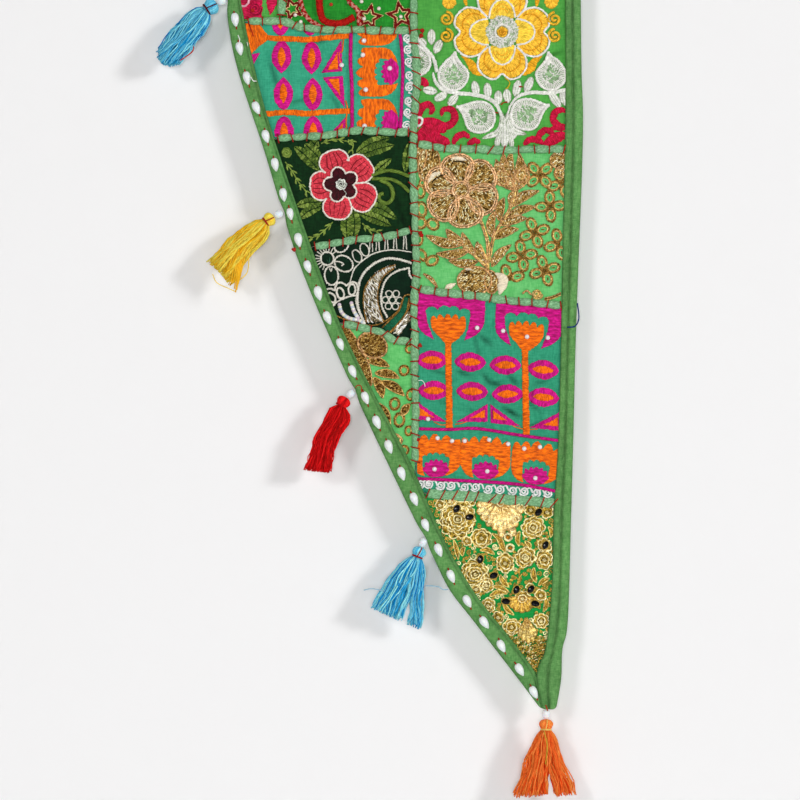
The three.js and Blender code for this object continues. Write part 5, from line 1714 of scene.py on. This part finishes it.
paisley.line(circle(RING_AT, 5.6), 0.9, WHITE_CORD)
paisley.curve([(-63, -259), (-61, -262), (-60.6, -257)], 0.3, "#2D5A45", "floss", lift=0.1)
for way in [96, 112, 130, 146, 163, 180, 196, 213, 230, 248, 60, 78, 40]:
    ray = RING_AT + placed([(6.4, 0), (10.4, 0)], turn=way)
    paisley.line(evenly(ray, 0.8), 0.52, WHITE_CORD)
for at, long, wide, turn in (
    ((-59.2, -272.6), 16, 11.6, 5), ((-48.8, -262.4), 16.4, 13, 62), ((-50.6, -247.2), 13, 10, 130),
):
    twisted(circle(at, long / 2, squash=wide / long, turn=90 + turn, spacing=2.2), 0.95)
twisted([(-57, -260.4), (-52, -261), (-49, -262.6), (-50.6, -264.4)], 0.7)
twisted([(-61, -266.6), (-59.4, -269), (-58.8, -266.4)], 0.6)
paisley.curve(
    [
        (-43.4, -278), (-42.2, -273.6), (-39.2, -266.2), (-32, -259.4), (-23.8, -254.2), (-13.6, -251.4),
        (-2.8, -251), (9, -252.8),
    ],
    0.62, WHITE_CORD,
)
for at, turn in (((-37.4, -256), 28), ((-31, -250.6), 22)):
    paisley.line(circle(at, 5.6, squash=0.62, turn=90 + turn), 0.6, WHITE_CORD)
for x, low in ((-25.4, -252.6), (-19.8, -251.6), (-12.4, -250.6), (-5, -250), (3.4, -250.4)):
    for shift, lean in ((-1.5, 0.5), (1.3, -0.7)):
        path = [(x + shift, low), (x + shift * 0.8, low + 5), (x + shift + lean, low + 12)]
        paisley.curve(path, 0.5, WHITE_CORD)
twisted(
    [
        (-31.6, -311.6), (-36, -301.4), (-37.2, -291.2), (-35.2, -277.8), (-30.4, -269), (-22.4, -262.2),
        (-12.4, -258.2), (-2.2, -258.8), (9, -262),
    ],
    1.45,
)
outer, inner = (
    smooth(path) for path in (
        [(-4.5, -263.5), (-16.4, -267.4), (-26, -275.6), (-31, -284.6), (-32, -296.8), (-29.4, -312.6)],
        [(-6, -266.4), (-14.6, -273), (-19, -282.4), (-20, -293), (-17.8, -303), (-14.8, -311.6)],
    )
)
paisley.fill(outer, inner, "#8D7F63", kind="metal", high=0.5)
# silver bits picked at random: silver, near whites as painted glints, and dark greys as painted shade
SILVERS = (SILVER, "#F4F1E6", "#8D7F63", "#FFFFFF", "#4E4A34", "#F4F1E6")
paisley.bits(closed(outer, inner), SILVERS, long=3.4, pitch=1.0, turn=-62, lift=0.4, radius=0.52)
for side in (outer, evenly(inner, 0.9)):
    paisley.line(side, 0.62, OLD_GOLD, "metal", lift=0.5)
twisted(
    [(7.4, -266), (-4, -269), (-12.2, -275.6), (-16, -284), (-17, -292), (-15.8, -300.2), (-11.6, -308.4)],
    1.15,
)
twisted([(6.8, -266.2), (7.2, -271.6), (10.4, -276)], 1.1)
for x, z in (
    (-10.2, -288), (-4.2, -288), (-13.4, -293.2), (-7.4, -293.4), (-1.4, -293.6), (-10.8, -298.6),
    (-4.8, -298.8),
):
    paisley.line(circle((x, z), 2.7, spacing=0.8), 0.55, WHITE_CORD)
strip_path = smooth([(4.6, -291), (0.8, -304), (-13, -319.6)])
step = np.gradient(strip_path, axis=0)
side = np.stack([-step[:, 1], step[:, 0]], -1) / np.linalg.norm(step, axis=1, keepdims=True)
side = side * np.linspace(2.2, 3.8, len(step))[:, None]
paisley.fill(strip_path + side, strip_path - side, EMERALD, high=0.9, kind="floss")
for shift in (-1.1, 1.1):
    paisley.line(strip_path + side * shift, 0.7, OLD_GOLD, "metal", lift=0.4)
band = evenly([(8.6, -304.6), (-4.4, -322)], 0.9)
a, b = band + [2.6, -1.6], band - [2.6, -1.6]
paisley.fill(a, b, SILVER, kind="metal", high=0.9)
paisley.bits(closed(a, b), SILVERS, long=3, pitch=1.0, turn=50, lift=0.5)
for path in (
    [
        (-57, -306), (-44, -311), (-31.4, -314.2), (-21.8, -314.6), (-12.2, -310.6), (-2.8, -302.4),
        (2, -291.4), (5, -288.8), (10, -289.6),
    ],
    [(8.6, -292), (7, -299.6), (1.4, -308.4), (-10.4, -321.6)],
):
    paisley.curve(path, 0.68, OLD_GOLD, "metal", lift=0.2)
crest = arched([(-64.4, -291), (-56, -285.6), (-46.4, -281.4), (-36.6, -284.4)], 0.5)
base = smooth([(-60.6, -300.6), (-54.4, -295), (-47.6, -291.6), (-41, -289.6), (-36, -290)])
paisley.line(evenly(crest, 0.8), 0.95, WHITE_CORD, lift=0.3)
paisley.line(base, 0.9, WHITE_CORD, lift=0.3)
for x, z, turn in ((-59.2, -291.4, 35), (-51.6, -287.6, 18), (-41.8, -284.4, 0)):
    paisley.line(circle((x, z), 4.6, squash=0.64, turn=90 + turn), 1.0, WHITE_CORD, lift=0.3)
PEARLS = ("#DCC9D8", "#EFEBD2", "#C7D2E2", "#F3EFE6")
for path in (
    [(-52.4, -297.4), (-50.4, -304), (-44.2, -308.8), (-36, -310.4), (-31.6, -313)],
    [(-42.2, -296), (-40, -302.8), (-36.6, -308.4)],
):
    for k, at in enumerate(smooth(path, 1.9)):
        paisley.bead(at, 1.75, PEARLS[k % 4], lift=0.1)
paisley.curve([(-38.6, -292), (-37, -300), (-32.6, -311)], 0.8, WHITE_CORD, lift=0.2)
sewn["paisley"] = paisley.finish()

# %% [markdown]
# ## The small patches
# The sprig patch is cut from the same gilt-worked cloth as the zari one. The rose and star patches show
# only scraps of two others: crimson roses on leaf green, and red corded outlines with beads on bright
# green. All three run under the curved binding or the heading.

# %% The sprig patch
sprig = Stitching("sprig", "metal")
DULL_PURL = ("#AD8A44", "#7A5418", "#C9A65C", "#54360C", GILT, "#8A5F24")
a, b = blade(placed([(0, 13), (0, 0), (0, -13)], (-24.4, -331.6), 62), 21, ends=(0.5, 0.5))
purl_fill(sprig, a, b, edge=1.05, tones=DULL_PURL)
a, b = blade([(-50, -315), (-41.4, -331), (-32.2, -349.6), (-25.4, -366)], 11, ends=(0.3, 0.6))
purl_fill(sprig, a, b, edge=0.7, tones=DULL_PURL)
for start, tip, width in (
    ((-29, -345), (-9.8, -350), 6.6), ((-22, -355.4), (-1.4, -359.6), 6.8),
    ((-17, -362.6), (2.8, -374.8), 7.4), ((-23, -359), (-15.6, -377), 7.4),
    ((-19.4, -381), (-9.2, -400), 5.4), ((1.2, -391.4), (7.6, -381.6), 6),
):
    purl_leaf(sprig, start, tip, width, tones=DULL_PURL, rim="#D2AA66")
for x, z, long, wide in (
    (2.6, -353.2, 8.6, 8), (-5.4, -381.6, 10.4, 8.4), (-1.4, -395.2, 12, 8.8), (6.4, -404.4, 8, 6),
    (7.8, -374, 9, 6), (2.6, -421, 8, 7.6), (7, -335, 7, 6),
):
    loop = circle((x, z), long / 2, squash=wide / long, turn=84, spacing=0.8)
    double_loop(sprig, loop, (x, z), 0.74, (0.2, 0.4), ("#8C6428", "#C8A25C"), 0.62)
for shift, tone in ((-0.7, GILT), (0.7, COPPER)):
    path = [(-6, -407.6 + shift), (-1.6, -409.4 + shift), (0.2 + shift, -412), (-0.8 + shift, -416)]
    sprig.curve(path, 0.8, tone, lift=0.2)
sewn["sprig"] = sprig.finish()

# %% The rose patch
roses = Stitching("rose")
ROSE_RED, ROSE_DARK = "#D3134F", "#9C0E38"
outer, inner = [(-141, -14), (-139, -40), (-131, -62)], [(-119, -14), (-117.4, -36), (-119, -62)]
roses.fill(evenly(outer, 0.9), evenly(inner, 0.9), "#C61248", high=0.5)
for x, z, radius in ((-123.8, -46, 6.4), (-129, -31, 6.4), (-130, -57, 5)):
    roses.disc((x, z), radius, ROSE_RED, wave=0.06, lobes=6, high=0.8, lift=0.4)
    roses.line(spiral((x, z), radius * 0.86, 2.2), 0.5, ROSE_DARK, lift=1.0)
roses.curve(
    [(-138, -43), (-132.6, -43.6), (-129.4, -40), (-130.6, -35), (-136, -33)], 1.0, "#F0B4C4", "cotton",
    lift=0.7,
)
roses.leaf([(-109.6, -28), (-109.8, -40), (-111.4, -51.6)], 9.4, ROSE_RED, widest=0.4)
roses.leaf([(-112, -18), (-107, -23), (-105, -30)], 5, "#C61248")
sewn["rose"] = roses.finish()

# %% The star patch
stars = Stitching("star")
BLOOD, DARK_RED, STRAW = "#B5150F", "#7E120E", "#D9C48E"


def braid(path):
    """Two cords wound round each other: each swings across the line as the other swings back."""
    line = smooth(path, 0.7)
    step = np.gradient(line, axis=0)
    side = np.stack([-step[:, 1], step[:, 0]], -1) / np.linalg.norm(step, axis=1, keepdims=True)
    swing = np.sin(np.arange(len(line)) * 0.9)[:, None]
    for hand, colour in ((-1, "#D88E80"), (1, "#A82018")):
        stars.line(line + side * swing * hand * 1.9 * 0.62, 1.9 * 0.62, colour, "cotton", lift=0.3)


u_path = smooth([(-70.4, -15), (-69.6, -38), (-67.4, -53), (-61, -58), (-49.8, -58), (-39.8, -53.2)], 0.7)
twist = 1 + 0.07 * np.sin(np.arange(len(u_path)) * 1.5)
stars.line(u_path, 3.0 * twist, BLOOD, "cotton", around=10, rise=0.4)
braid([(-85.6, -15), (-85.4, -38), (-82, -49.6), (-76, -56.6), (-64, -63.4)])
braid([(-47, -15), (-44.8, -38), (-37, -47.4), (-35.4, -60)])
for x, z, radius, turn in (
    (-0.4, -51.6, 11.6, 10), (-27.2, -53, 10.6, -12), (-92.6, -46, 9.6, 20), (-17, -28, 10, 5),
    (-58, -28, 7.4, 30), (-94, -24, 8, 0),
):
    ways = np.radians(np.arange(11) * 36 + turn + 90)
    reach = np.where(np.arange(11) % 2, 0.46, 1.0) * radius
    corners = np.stack([x + reach * np.cos(ways), z + reach * np.sin(ways)], -1)
    inside, outside = (evenly(shrunk(corners, share, (x, z)), 0.8) for share in (0.62, 1.16))
    stars.fill(evenly(corners, 0.8), evenly(shrunk(corners, 0.62, (x, z)), 0.5), DARK_RED, high=0.5)
    stars.line(evenly(corners, 0.8), 0.8, DARK_RED, "cotton", lift=0.2)
    stars.line(inside, 0.5, STRAW, "metal", lift=0.3)
    stars.line(outside, 0.4, STRAW, "metal", lift=0.2)
for x, z in (
    (-0.2, -52.8), (-31.4, -54.6), (-18.8, -45.8), (-89.8, -51.4), (-33.6, -39.8), (-85.2, -57.2),
    (-60, -22), (-20, -22),
):
    stars.bead((x, z), 1.7, "#F3E6DC", lift=0.6)
stars.bead((-59.4, -42.4), 1.6, "#C7442C", kind="cotton", lift=0.3)
sewn["star"] = stars.finish()

# %% [markdown]
# ## The shells
# Small white shells run down the curved binding, blunt end up. Each is a drop-shaped outline that
# climbs to a low crown and rolls under at its rim. A red thread shows at its holes.

# %% Shells and their threads
SHELL_RUNS = [(-31.5, -203.5, 8), (-220.4, -376.4, 8), (-396.8, -506.4, 6), (-528.7, -626.6, 6)]
SHELL = {"length": 12.2, "width": 6.7, "height": 2.5}
shell_threads = Work()


def shell_rings(x, z, turn, size):
    """A shell's skin: at level w, its drop outline is drawn in by cos w and raised by sin w."""
    level = np.radians([-32, -12, 8, 28, 46, 62, 76, 86])[:, None]
    angle = np.linspace(0, 2 * np.pi, 28, endpoint=False)[None, :]
    up = np.sin(angle)
    blunt = np.where(up > 0, 0.75, 1.1)
    across = 0.5 * SHELL["width"] * np.sign(np.cos(angle)) * np.abs(np.cos(angle)) ** blunt
    across = across * (0.96 + 0.3 * up - 0.16 * up * up)
    along = 0.5 * SHELL["length"] * up
    across, along = across * np.cos(level) * size, along * np.cos(level) * size
    px = x + across * np.cos(turn) + along * np.sin(turn)
    pz = z - across * np.sin(turn) + along * np.cos(turn)
    off = 0.95 + SHELL["height"] * np.sin(level) + 0 * angle
    y = swell(x, z) - BINDING_Y - off
    return np.stack([px, y, pz], -1), np.stack([px, pz], -1)


def loose_thread(work, points, radius, colour):
    """A thread in the air along the spline through a few x, y, z points: five-sided rings, each square to
    the line. Its side is level, and its upper direction is square to both."""
    path = spline(points, 7)
    along = np.gradient(path, axis=0)
    along /= np.linalg.norm(along, axis=1, keepdims=True)
    side = np.cross(along, [0, 1, 0])
    side /= np.linalg.norm(side, axis=1, keepdims=True) + 1e-9
    up = np.cross(side, along)
    angle = 2 * np.pi * np.arange(5) / 5
    out = side[:, None] * np.cos(angle)[:, None] + up[:, None] * np.sin(angle)[:, None]
    uv = np.stack(np.broadcast_arrays(np.arange(len(path))[:, None] * 1.0, angle), -1)
    work.add(path[:, None] + radius * out, uv, colour)


shell_places = np.concatenate([np.linspace(top, low, count) for top, low, count in SHELL_RUNS])
for index, z in enumerate(shell_places):
    z = z + chance.normal(0, 0.5)
    x = curved_plain(z) * 0.58 + curved_inner(z) * 0.42 + chance.normal(0, 0.35)
    lean = 0.8 * np.arctan((curved_plain(z + 12) - curved_plain(z - 12)) / 24) + chance.normal(0, 0.06)
    rings, uv = shell_rings(x, z, lean, chance.normal(1, 0.03))
    shell = Work()
    shell.add(rings, uv, [1, 1, 1])
    shell.piece(f"shell_white_{index + 1:02d}", shell_white, "shell", [f"shell_{index + 1:02d}"])
    way = np.array([np.sin(lean), 0, np.cos(lean)])
    face = swell(x, z) - BINDING_Y
    for end, often in ((1, 0.9), (-1, 0.35)):
        if chance.random() < often:
            tip = np.array([x, face, z]) + way * end * SHELL["length"] * 0.46
            bow = chance.normal(0, 0.5)
            path = [
                tip + way * end * reach + [aside, back, 0]
                for reach, aside, back in ((-0.9, 0, -1.3), (0.9, bow, -1.1), (2.1, bow, 0.2))
            ]
            loose_thread(shell_threads, path, 0.62, STITCH_RED)
shell_threads.piece("shell_red_threads", cotton_thread, "shell")

# %% [markdown]
# ## Beads and tassels
# A milky bead joins each tassel to the edge. A tassel is a hank of strands doubled over, tied below
# its fold, and cut. Every strand is a thin tube: it leaves the head close to the axis, swings out
# over the shoulder, hangs, and frays at its end. All the strands of a tassel are one array.

# %% Tassels as arrays of strands
TASSELS = [
    # height on the edge, leans of bead and body in degrees, length, half-widths at 5, 12 and 24 mm below
    # the neck and at the end, sway, slant and rounding of the cut, size of head, pale and deep colour (a
    # lit and a shaded tone of the dye, for painted highlight and painted shade), and where it parts, as a
    # share of its half-width
    ("sky_upper", -38, 74, 39.5, 68.5, (9.0, 10.6, 11.4, 11.6), 0, -0.02, 0.14, 1.18,
     "#98F0FF", "#18A2DA", None),
    ("yellow", -218.5, 68, 43.5, 67, (8.8, 10.6, 11.2, 14), -0.9, 0.04, -0.03, 0.98,
     "#FFEE62", "#FFCA2C", None),
    ("red", -369.8, 50, 21, 68, (9.8, 10.5, 9.4, 10.4), -1.7, -0.28, 0, 1.0,
     "#FF1A1E", "#C60008", None),
    ("sky_lower", -494.8, 22, 21.5, 65, (8.4, 11.8, 16.4, 20.2), 0, 0.06, 0, 1.0,
     "#A4F6FF", "#22AEE6", 0.42),
    ("orange", -641, 0, 2.4, 65.5, (8.2, 11.4, 15.6, 25), 0, -0.1, 0, 1.0,
     "#FF9444", "#FF5812", 0.18),
]
BEAD = {"length": 7.6, "radius": 3.4}
STRANDS, STEPS = 300, 14  # strands in a tassel, fewer and thicker than real ones, and steps down each
TIES = {
    "orange": "#F8D070", "red": "#C00810", "sky_upper": "#5C0E18", "sky_lower": "#A81018",
    "yellow": "#A81018",
}
tassel_ties = Work()


def in_air(frame, origin, *local):
    """Points given along the three directions of a frame, moved to their place."""
    return origin + np.stack(np.broadcast_arrays(*local), -1) @ frame


def lean_frame(turn):
    """Sideways, back and down, as rows, for something that leans aside by turn, in degrees."""
    c, s = np.cos(np.radians(turn)), np.sin(np.radians(turn))
    return np.array([[c, 0, -s], [0, 1, 0], [-s, 0, -c]])


def bead_rings(frame, origin):
    """A drop bead: circles square to its axis, whose radius swells and shrinks from hole to hole."""
    t = np.linspace(0, 1, 12)[:, None]
    radius = BEAD["radius"] * (0.5 + 0.5 * np.sin(np.pi * t**0.8) ** 0.7)
    angle = 2 * np.pi * np.arange(18)[None, :] / 18
    rings = in_air(frame, origin, radius * np.cos(angle), radius * np.sin(angle), BEAD["length"] * t)
    return rings, np.stack([t * 9 + 0 * angle, angle * radius], -1)


def strands(frame, origin, length, widths, sway, slant, rounding, split):
    """All of a tassel's strands at once, as three-sided tubes. Each keeps its place in the bundle while the
    bundle's half-width goes from neck to shoulder to cut end. Neighbours share slow waves, so that they
    gather into locks with gaps between, and each strand wanders a little by itself."""
    t = np.linspace(0, 1, STEPS)[None, :]
    place = np.sqrt((np.arange(STRANDS) + 0.5) / STRANDS)[:, None]
    around = (np.arange(STRANDS) * 2.39996)[:, None] + chance.normal(0, 0.15, (STRANDS, 1))
    side = place * np.cos(around)
    ragged = 0.97 + 0.03 * chance.normal(0, 1, (STRANDS, 1)).clip(-3, 1.2)
    cut = length * (ragged - rounding * side**2) + slant * widths[3] * side
    down = (cut - 7.2) * t
    wide = np.interp(down, [0, 5, 12, 24, length - 7.2], [3.8, *widths])
    deep = np.interp(down, [0, 3, 8, 30, length], [3.6, 5, 6.4, 7.4, 6])
    across, out = side * wide, place * np.sin(around) * deep
    ease = np.minimum(1, t * 2.5)
    for turns, waves, size in ((3, 1.1, 0.6), (5, 1.9, 0.5), (8, 2.8, 0.42), (13, 2.2, 0.32)):
        phase = turns * (side * 2.2 + np.sin(around) * 0.6) + 2 * np.pi * waves * t + chance.uniform(0, 6)
        across = across + size * ease * np.sin(phase)
        out = out + size * ease * np.cos(phase * 1.1)
    wave = np.sin(t * chance.uniform(3, 12, (STRANDS, 1)) + chance.uniform(0, 6, (STRANDS, 1)))
    across = across + 0.5 * wave * t + chance.normal(0, 0.22, (STRANDS, STEPS)) * ease
    if split is not None:
        gap = 4.6 * soft_step(0.5, 0.95, t)
        across = across + np.where(side > split, gap, -0.35 * gap)
    across = across + sway * np.sin(2 * np.pi * (1.4 * down / length - 0.42))
    corner = np.pi / 2 + 2 * np.pi / 3 * np.arange(3)
    radius = 0.6 * np.linspace(1, 0.85, STEPS)[None, :, None] * chance.normal(1, 0.12, (STRANDS, 1, 1))
    across, out, down = (value[..., None] for value in (across, out, down))
    tubes = in_air(frame, origin, across + radius * np.cos(corner), out + radius * np.sin(corner), down)
    round_it = 5.0 * np.arange(STRANDS)[:, None, None] + np.arange(3.0)
    return tubes, np.stack(np.broadcast_arrays(down, round_it), -1)


def head_rings(frame, origin, lobed, size):
    """The bound head: a ball of folded strands, ridged along its folds, drawn in at the neck."""
    t = np.linspace(0, 1, 16)[:, None]
    radius = np.interp(t, [0, 0.08, 0.3, 0.52, 0.8, 1], [1.6, 3.8, 5.5, 5.6, 4.5, 3.6])
    angle = 2 * np.pi * np.arange(48)[None, :] / 48
    ridged = radius * (1 + 0.05 * np.cos(angle * 15 + 5 * t) + 0.05 * np.sin(angle * 2 + 1.3))
    ridged = ridged * (1 - lobed * np.exp(-(((angle % np.pi) - np.pi / 2) / 0.3) ** 2)) * size
    rings = in_air(frame, origin, ridged * np.cos(angle), ridged * np.sin(angle) * 0.94, 9.2 * size * t)
    return rings, np.stack([9.2 * t + 0 * angle, angle * radius], -1)


for name, z, bead_lean, lean, length, widths, sway, slant, rounding, size, pale, deep, split in TASSELS:
    at_tip = bead_lean == 0
    x = float((curved_inner(z) + straight_inner(z)) / 2 if at_tip else curved_outer(z))
    bead_frame, body_frame = lean_frame(bead_lean), lean_frame(lean)
    head_frame = lean_frame((bead_lean + lean) / 2)
    bead_top = np.array([x, float(swell(x, z)), z]) + bead_frame[2] * (0.6 if at_tip else 1.3)
    slack = 0.4 + abs(np.sin(np.radians(bead_lean - lean)))
    head_top = bead_top + bead_frame[2] * BEAD["length"] + head_frame[2] * slack
    neck = head_top + head_frame[2] * 8.8 * size
    bead = Work()
    bead.add(*bead_rings(bead_frame, bead_top), [1, 1, 1])
    bead.piece(f"bead_milky_{name}", milky_bead, "bead", [f"bead_{name}"])
    body = Work()
    pale, deep = colour_of(pale), colour_of(deep)
    rings, uv = head_rings(head_frame, head_top, 0.3 if at_tip else 0.12, size)
    # the head's streaks and each strand's shade are random mixes of a lit and a shaded tone: painted
    # highlight and painted shade
    lit_and_shaded_streaks = deep + (pale - deep) * chance.uniform(0, 1.3, (1, 1, 48, 1))
    body.add(rings, uv, lit_and_shaded_streaks + 0 * rings[None])
    tubes, uv = strands(body_frame, neck, length - 2, widths, sway, slant, rounding, split)
    shades = chance.uniform(-0.25, 1.15, (STRANDS, 1, 1))
    body.add(tubes, uv, (deep + (pale - deep) * shades).clip(0.002, 1))
    slot = "thread_sky" if "sky" in name else f"thread_{name}"
    body.piece(f"tassel_strands_{name}", cotton_thread, slot, [f"tassel_{name}"])
    tie, turn = colour_of(TIES[name]), np.linspace(0, 2 * np.pi, 15)
    ring = np.stack([np.cos(turn) * 4.4, np.sin(turn) * 4.4, 0.3 * np.sin(turn)]) * size
    for low in (9.0, 8.4):
        loose_thread(tassel_ties, in_air(head_frame, head_top, *ring[:2], ring[2] + low * size), 0.42, tie)
    over = size * np.array([(-0.5, -5, 8.6), (0.3, -5.7, 5.2), (0.8, -4.6, 1.5), (0.6, -1.5, 0.2)])
    loose_thread(tassel_ties, in_air(head_frame, head_top, *over.T), 0.5, tie)
tassel_ties.piece("tassel_tie_threads", cotton_thread, "thread_red")

# %% [markdown]
# ## Loose threads
# A handmade piece is never trimmed clean. Ends of tying thread hang from the tassels and bindings, and
# white ends stand out of two shells.

# %% Thread ends
strays = Work()
for colour, radius, path in (  # x, height off the middle of the cloth, z
    ("#C2271C", 0.5, [(-175.7, 6, -78.6), (-177, 7, -83), (-182.2, 6, -87), (-187.4, 5, -90.3)]),
    ("#B9231C", 0.45, [(-38.7, 4.4, -367.8), (-37, 5.6, -366), (-34, 5.4, -366.6), (-33.5, 5.2, -371.6)]),
    ("#FFE070", 0.45, [(-159.9, 5, -271.4), (-156.4, 4, -278.7), (-146.6, 3, -283.6), (-140, 2, -286.5)]),
    ("#FFDC50", 0.45, [(-124.1, 5, -247.3), (-128.4, 5, -252.7), (-130.3, 4, -269.1), (-136.6, 3, -276.2)]),
    ("#9CCBE2", 0.4, [(-31.6, 3, -539.8), (-26, 3, -538.6), (-20.2, 2, -539.2), (-14, 2, -541)]),
    (
        "#9CCBE2", 0.4,
        [(20.4, 4, -536.1), (27.2, 4, -536.1), (32.4, 3, -537.1), (35.6, 2, -539.2), (40, 2, -539.2)],
    ),
    ("#12307A", 0.6, [(149.6, 4.2, -296), (150.8, 4.6, -309), (147.5, 4.6, -315.6), (140.9, 4.2, -316.5)]),
    ("#F4F4F4", 0.36, [(14.6, 4.6, -362), (17.4, 4.8, -361.6), (19.6, 4.4, -363.8), (20.4, 3.6, -366.8)]),
    ("#D8B23A", 0.5, [(121.4, 7.6, -659.3), (123.8, 8, -671.7), (122.4, 7.6, -686.9)]),
    ("#F6F6F4", 0.45, [(-137.4, 6, -76.4), (-136.8, 6.6, -72.6), (-138.2, 6.4, -69)]),
    ("#F6F6F4", 0.45, [(-127.4, 5.6, -104.4), (-125.4, 6, -107.6), (-122.6, 5.6, -108)]),
    ("#B9231C", 0.55, [(122.6, 5, -637), (123.6, 6, -639.6), (124.2, 5, -642)]),
):
    points = np.array(path) * [1, -1, 1]
    points[:, 1] += swell(points[:, 0], points[:, 2])
    loose_thread(strays, points, radius, colour_of(colour))
for aside, end in (
    (-11, -271), (-9, -275), (-7, -278), (-5, -279), (-3.6, -284), (-2.4, -287), (-1.2, -285), (0.4, -280),
):
    # strands of the yellow tassel that have slipped from its neck and hang straight down
    path = [(-131 + aside * 0.9, -5, -250), (-134.6 + aside, -5, -264), (-138.6 + aside * 0.8, -4, end)]
    loose_thread(strays, path, 0.62, colour_of("#FFC62C"))
strays.piece("stray_thread_ends", cotton_thread, "thread_red")

# %% [markdown]
# ## The flat sizes of the cloth
# Each sheet's flat size is what was cut: the patches are a little larger than they show, because
# they run under the bindings, and a binding is twice as wide as its face.

# %% Flat sizes of the sheets
for name, (piece, spans, area) in sheets.items():
    print(f"cloth_{name}: cut {spans[0]:.0f} x {spans[1]:.0f} mm, {area / 100:.0f} cm2")
for piece, wide, long in (
    (curved_strip, curved_wide, curved_long), (straight_strip, straight_wide, straight_long),
    (heading_strip, HEADING, 2 * HALF_TOP),
):
    print(f"{piece.name}: cut {2.1 * wide:.0f} x {long:.0f} mm")

# %% [markdown]
# ## The studio
# A pale wall stands a little behind the hanging, with a pale floor below. A soft lamp on each side
# rakes across the stitches and throws a soft shadow to the other side, and a broad one in front
# fills. The wall shows from its front only, so the back can be looked at.

# %% Wall, floor and lamps
WALL_GAP = 24  # how far the wall stands behind the middle of the cloth, in mm


def plane(name, corners, finish):
    """A flat piece of the room with four corners, given in mm."""
    mesh = bpy.data.meshes.new(name)
    mesh.from_pydata([[c * MM for c in corner] for corner in corners], [], [[0, 1, 2, 3]])
    mesh.materials.append(finish)
    made = bpy.data.objects.new(name, mesh)
    bpy.context.scene.collection.objects.link(made)


wall_paint, tree, bsdf = new_material("matt_white_wall_paint", Roughness=0.95)
bsdf.inputs["Base Color"].default_value = linear("#F7F7F8")
clear = add_node(tree, "BsdfTransparent")
facing = add_node(tree, "NewGeometry").outputs["Backfacing"]
either = add_node(tree, "MixShader", {0: facing, 1: bsdf.outputs[0], 2: clear.outputs[0]})
tree.links.new(either.outputs[0], tree.nodes["Material Output"].inputs["Surface"])
floor_paint, tree, bsdf = new_material("pale_grey_floor", Roughness=0.9)
bsdf.inputs["Base Color"].default_value = linear("#E4E4E4")
SPREAD, DROP, RISE = 1800, -1500, 900  # half the wall's width, the floor and the wall's top, in mm
ACROSS = (-SPREAD, SPREAD, SPREAD, -SPREAD)
plane("wall", [(x, WALL_GAP, z) for x, z in zip(ACROSS, (DROP, DROP, RISE, RISE))], wall_paint)
plane("floor", [(x, y, DROP) for x, y in zip(ACROSS, (-3500, -3500, 400, 400))], floor_paint)


def soft_lamp(name, location, size, power):
    """A square area lamp at a place in mm, turned to face the middle of the hanging."""
    data = bpy.data.lights.new(name, "AREA")
    data.energy, data.size = power, size * MM
    lamp = bpy.data.objects.new(name, data)
    place = np.array(location) * MM
    aim = np.array([0, 0, VIEW["z"]]) * MM - place
    lamp.location = place
    lamp.rotation_euler = (np.arccos(-aim[2] / np.linalg.norm(aim)), 0, np.arctan2(-aim[0], aim[1]))
    bpy.context.scene.collection.objects.link(lamp)


soft_lamp("lamp_right", (6000, -4800, 1600), 1340, 238)
soft_lamp("lamp_left", (-3300, -5600, 1690), 1400, 104)
soft_lamp("lamp_front", (0, -4200, VIEW["z"]), 900, 62)
world = bpy.data.worlds.new("pale_room")
world.use_nodes = True
world.node_tree.nodes["Background"].inputs["Color"].default_value = linear("#FFF1E0")
world.node_tree.nodes["Background"].inputs["Strength"].default_value = 0.07
bpy.context.scene.world = world
print("studio: wall", WALL_GAP, "mm behind")
